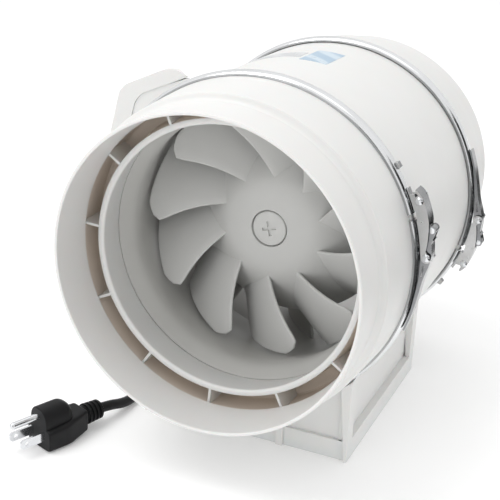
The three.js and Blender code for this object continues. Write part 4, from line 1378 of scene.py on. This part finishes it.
def make_base():
    inset, recess = BASE_FLOOR_INSET
    half, end = BASE_HALF_WIDTH - inset, BASE_HALF_DEPTH - recess
    bm = bmesh.new()
    floor = [(-half, BASE_LIFT), (half, BASE_LIFT), (half, BASE_FLOOR), (-half, BASE_FLOOR)]
    soft_prism_into(bm, floor, -end, end, 0.7)
    mesh = finish_mesh("base", bm)
    piece = add_piece("base_stand", mesh, "housing", "white_shell", ["base_bracket"], sharp=35)
    for x in (-BASE_BORES, BASE_BORES):
        for y in (-BASE_BORES, BASE_BORES):
            tool = lathe("bore", BASE_BORE, segments=32, centre=(x, y, 0), axis=(0, 0, 1))
            boolean(piece, tool, "DIFFERENCE")

    bm = bmesh.new()
    bm.from_mesh(piece.data)
    for side in (-1, 1):
        base_end_into(bm, side)
    bm.to_mesh(piece.data)
    bm.free()
    shade(piece.data, 35)
    add_weighted_normals(piece)


make_base()


# ---- plug ----

PLUG_PLACE = Vector((-111.7, -153.2, 10.9))
PLUG_TURN = math.radians(-21.1)
PLUG_RIBS = 4
PLUG_RIB_START = 37
PLUG_RIB_STEP = 3.2
PLUG_NECK_R = (6.1, 5.5)
# Along the plug from a rib's start, and out from the neck.
PLUG_RIB = ((0, 0), (0.2, 1.2), (1.6, 1.2), (1.8, 0))
# Along the plug from its face: distance, half width, underside, top and squareness.
PLUG_BLOCK = [
    (0.0, 11.8, -10.0, 4.2, 6.0),
    (0.3, 12.2, -10.5, 4.7, 6.0),
    (1.0, 12.5, -10.7, 5.0, 6.0),
    (14.0, 12.5, -10.7, 5.6, 7.0),
    (19.0, 11.9, -10.5, 6.2, 8.0),
    (33.0, 8.1, -8.4, 7.2, 9.0),
    (33.8, 7.8, -8.1, 6.9, 9.0),
    (34.2, 7.2, -7.5, 6.3, 9.0),
    (34.3, 6.2, -6.2, 6.2, 2.0),
]
PLUG_END = [(49.3, 5.6, -5.6, 5.6, 2.0), (49.6, 5.2, -5.2, 5.2, 2.0)]
BARREL_HALF = 9.2
BARREL_TOP = 17.8
BARREL_LOW = -6.0
BARREL_LENGTH = 23.0
BARREL_ROUND = 7.0
BARREL_POWER = 2.7
EARTH_PIN = [(0, -21.4), (0.9, -21.3), (1.7, -20.8), (2.2, -20.0), (2.4, -19.0), (2.4, 2), (0, 2)]
EARTH_PIN_Z = 11.9


def plug_matrix():
    return Matrix.Translation(PLUG_PLACE * MM) @ Matrix.Rotation(PLUG_TURN, 4, "Z")


def superellipse(half_width, low, high, power, y, count=64):
    centre = (low + high) / 2
    half_height = (high - low) / 2
    points = []
    for k in range(count):
        angle = 2 * math.pi * k / count
        c, s = math.cos(angle), math.sin(angle)
        x = math.copysign(abs(c) ** (2 / power), c) * half_width
        z = math.copysign(abs(s) ** (2 / power), s) * half_height + centre
        points.append(Vector((x, y, z)) * MM)
    return points


def barrel_sections():
    """The round-topped part round the earth pin: a softened face and a well rounded back."""
    for along, inset in ((0.0, 0.8), (0.3, 0.3), (1.0, 0.0)):
        yield along, BARREL_HALF - inset, BARREL_LOW, BARREL_TOP - inset, BARREL_POWER
    for k in range(9):
        angle = math.pi / 2 * k / 8
        inset = BARREL_ROUND * (1 - math.cos(angle))
        along = BARREL_LENGTH - BARREL_ROUND * (1 - math.sin(angle))
        yield along, BARREL_HALF - 0.6 * inset, BARREL_LOW, BARREL_TOP - inset, BARREL_POWER


def plug_part(name, sections):
    bm = bmesh.new()
    loft_into(bm, [superellipse(w, low, high, power, y) for y, w, low, high, power in sections])
    mesh = finish_mesh(name, bm)
    mesh.transform(plug_matrix())
    return mesh


def make_plug():
    sections = list(PLUG_BLOCK)
    for k in range(PLUG_RIBS):
        start = PLUG_RIB_START + PLUG_RIB_STEP * k
        radius = mix(*PLUG_NECK_R, k / (PLUG_RIBS - 1))
        for along, out in PLUG_RIB:
            sections.append((start + along, radius + out, -radius - out, radius + out, 2.0))
    sections += PLUG_END
    mesh = plug_part("plug_body", sections)
    body = add_piece("plug_shell", mesh, "housing", "black_rubber", ["plug_body"], sharp=40)
    boolean(body, plug_part("barrel", barrel_sections()), "UNION")
    shade(body.data, 40)
    add_weighted_normals(body)

    mesh = lathe("earth_pin", EARTH_PIN, segments=40, centre=(0, 0, EARTH_PIN_Z))
    mesh.transform(plug_matrix())
    earth = add_piece("plug_earth", mesh, "housing", "pin_steel", ["plug_earth_pin"])
    return [body, earth]


plug_pieces = make_plug()


# ---- nodes kept as they are ----

for row in frame["record"]["subparts"]:
    node = frame["nodes"][row["node"]]
    material = SLOT_MATERIALS[row["material_slot"]]
    if not node.material_slots:
        node.data.materials.append(material)
    for slot in node.material_slots:
        slot.material = material


# ---- floor and light ----

FLOOR_HALF = 6
FLOOR_GLOW = 0.1
OBJECT_MIDDLE = (0, 0, 0.14)
WALL_LIGHT = (0.78, 0.785, 0.785)
CEILING_LIGHT = (0.94, 0.94, 0.94)
CEILING_FROM = 0.55


def add_sheet(name, half, low, high, scale, **settings):
    """A flat square that belongs to the set and not to the object."""
    bm = bmesh.new()
    bmesh.ops.create_grid(bm, x_segments=1, y_segments=1, size=half)
    mesh = bpy.data.meshes.new(name)
    bm.to_mesh(mesh)
    bm.free()
    n = Nodes(name)
    n.feed("Base Color", n.ramp(n.noise(scale), low, high))
    n.set(**settings)
    mesh.materials.append(n.material)
    sheet = add_to_scene(name, mesh)
    return sheet


def make_floor():
    glow = {"Emission_Color": (1, 1, 1, 1), "Emission_Strength": FLOOR_GLOW}
    pale = ((0.93, 0.93, 0.93), (0.95, 0.95, 0.95))
    add_sheet("floor", FLOOR_HALF, *pale, 3, Roughness=0.9, Specular_IOR_Level=0.1, **glow)


def aim(thing, place, target, track):
    thing.location = place
    direction = Vector(target) - Vector(place)
    thing.rotation_euler = direction.to_track_quat(track, "Y").to_euler()


def add_area(name, place, target, size, power):
    data = bpy.data.lights.new(name, "AREA")
    data.shape = "RECTANGLE"
    data.size, data.size_y = size
    data.energy = power
    aim(add_to_scene(name, data), place, target, "-Z")


def add_world():
    """Even light from all round, brighter overhead."""
    world = bpy.data.worlds.new("studio")
    world.use_nodes = True
    tree = world.node_tree
    direction = tree.nodes.new("ShaderNodeTexCoord").outputs["Generated"]
    split = tree.nodes.new("ShaderNodeSeparateXYZ")
    tree.links.new(direction, split.inputs["Vector"])
    ramp = tree.nodes.new("ShaderNodeValToRGB")
    low, high = ramp.color_ramp.elements
    low.position, high.position = 0.0, CEILING_FROM
    low.color = (*WALL_LIGHT, 1)
    high.color = (*CEILING_LIGHT, 1)
    tree.links.new(split.outputs["Z"], ramp.inputs["Fac"])
    tree.links.new(ramp.outputs["Color"], tree.nodes["Background"].inputs["Color"])
    bpy.context.scene.world = world


def add_dark_card(name, place, target, size, grey):
    """A dark card beside the set, which only the glossy parts mirror."""
    dark = (grey, grey, grey)
    card = add_sheet(name, 0.5, dark, dark, 2, Roughness=1.0, Specular_IOR_Level=0.0)
    aim(card, place, target, "Z")
    card.scale = (*size, 1)
    card.visible_camera = False
    card.visible_diffuse = False
    card.visible_shadow = False


make_floor()
add_world()
add_area("key", (-0.75, -0.55, 1.8), (0, 0, 0.12), (1.0, 1.0), 11)
add_area("front", (-0.7, -1.9, 0.9), (0, 0, 0.12), (0.9, 0.7), 3)
add_area("top", (0.1, 0.3, 1.9), (0, 0, 0.1), (1.4, 1.2), 3)
add_dark_card("card_right", (1.6, 0.3, 0.5), OBJECT_MIDDLE, (1.6, 1.3), 0.02)
add_dark_card("card_front", (1.0, -1.9, 0.9), OBJECT_MIDDLE, (0.5, 1.6), 0.02)
add_dark_card("card_floor", (0.95, 0.1, 0.003), (0.95, 0.1, 1), (1.44, 2.2), 0.05)

view = bpy.context.scene.view_settings
view.view_transform = "Standard"
view.look = "None"
view.exposure = 0.0
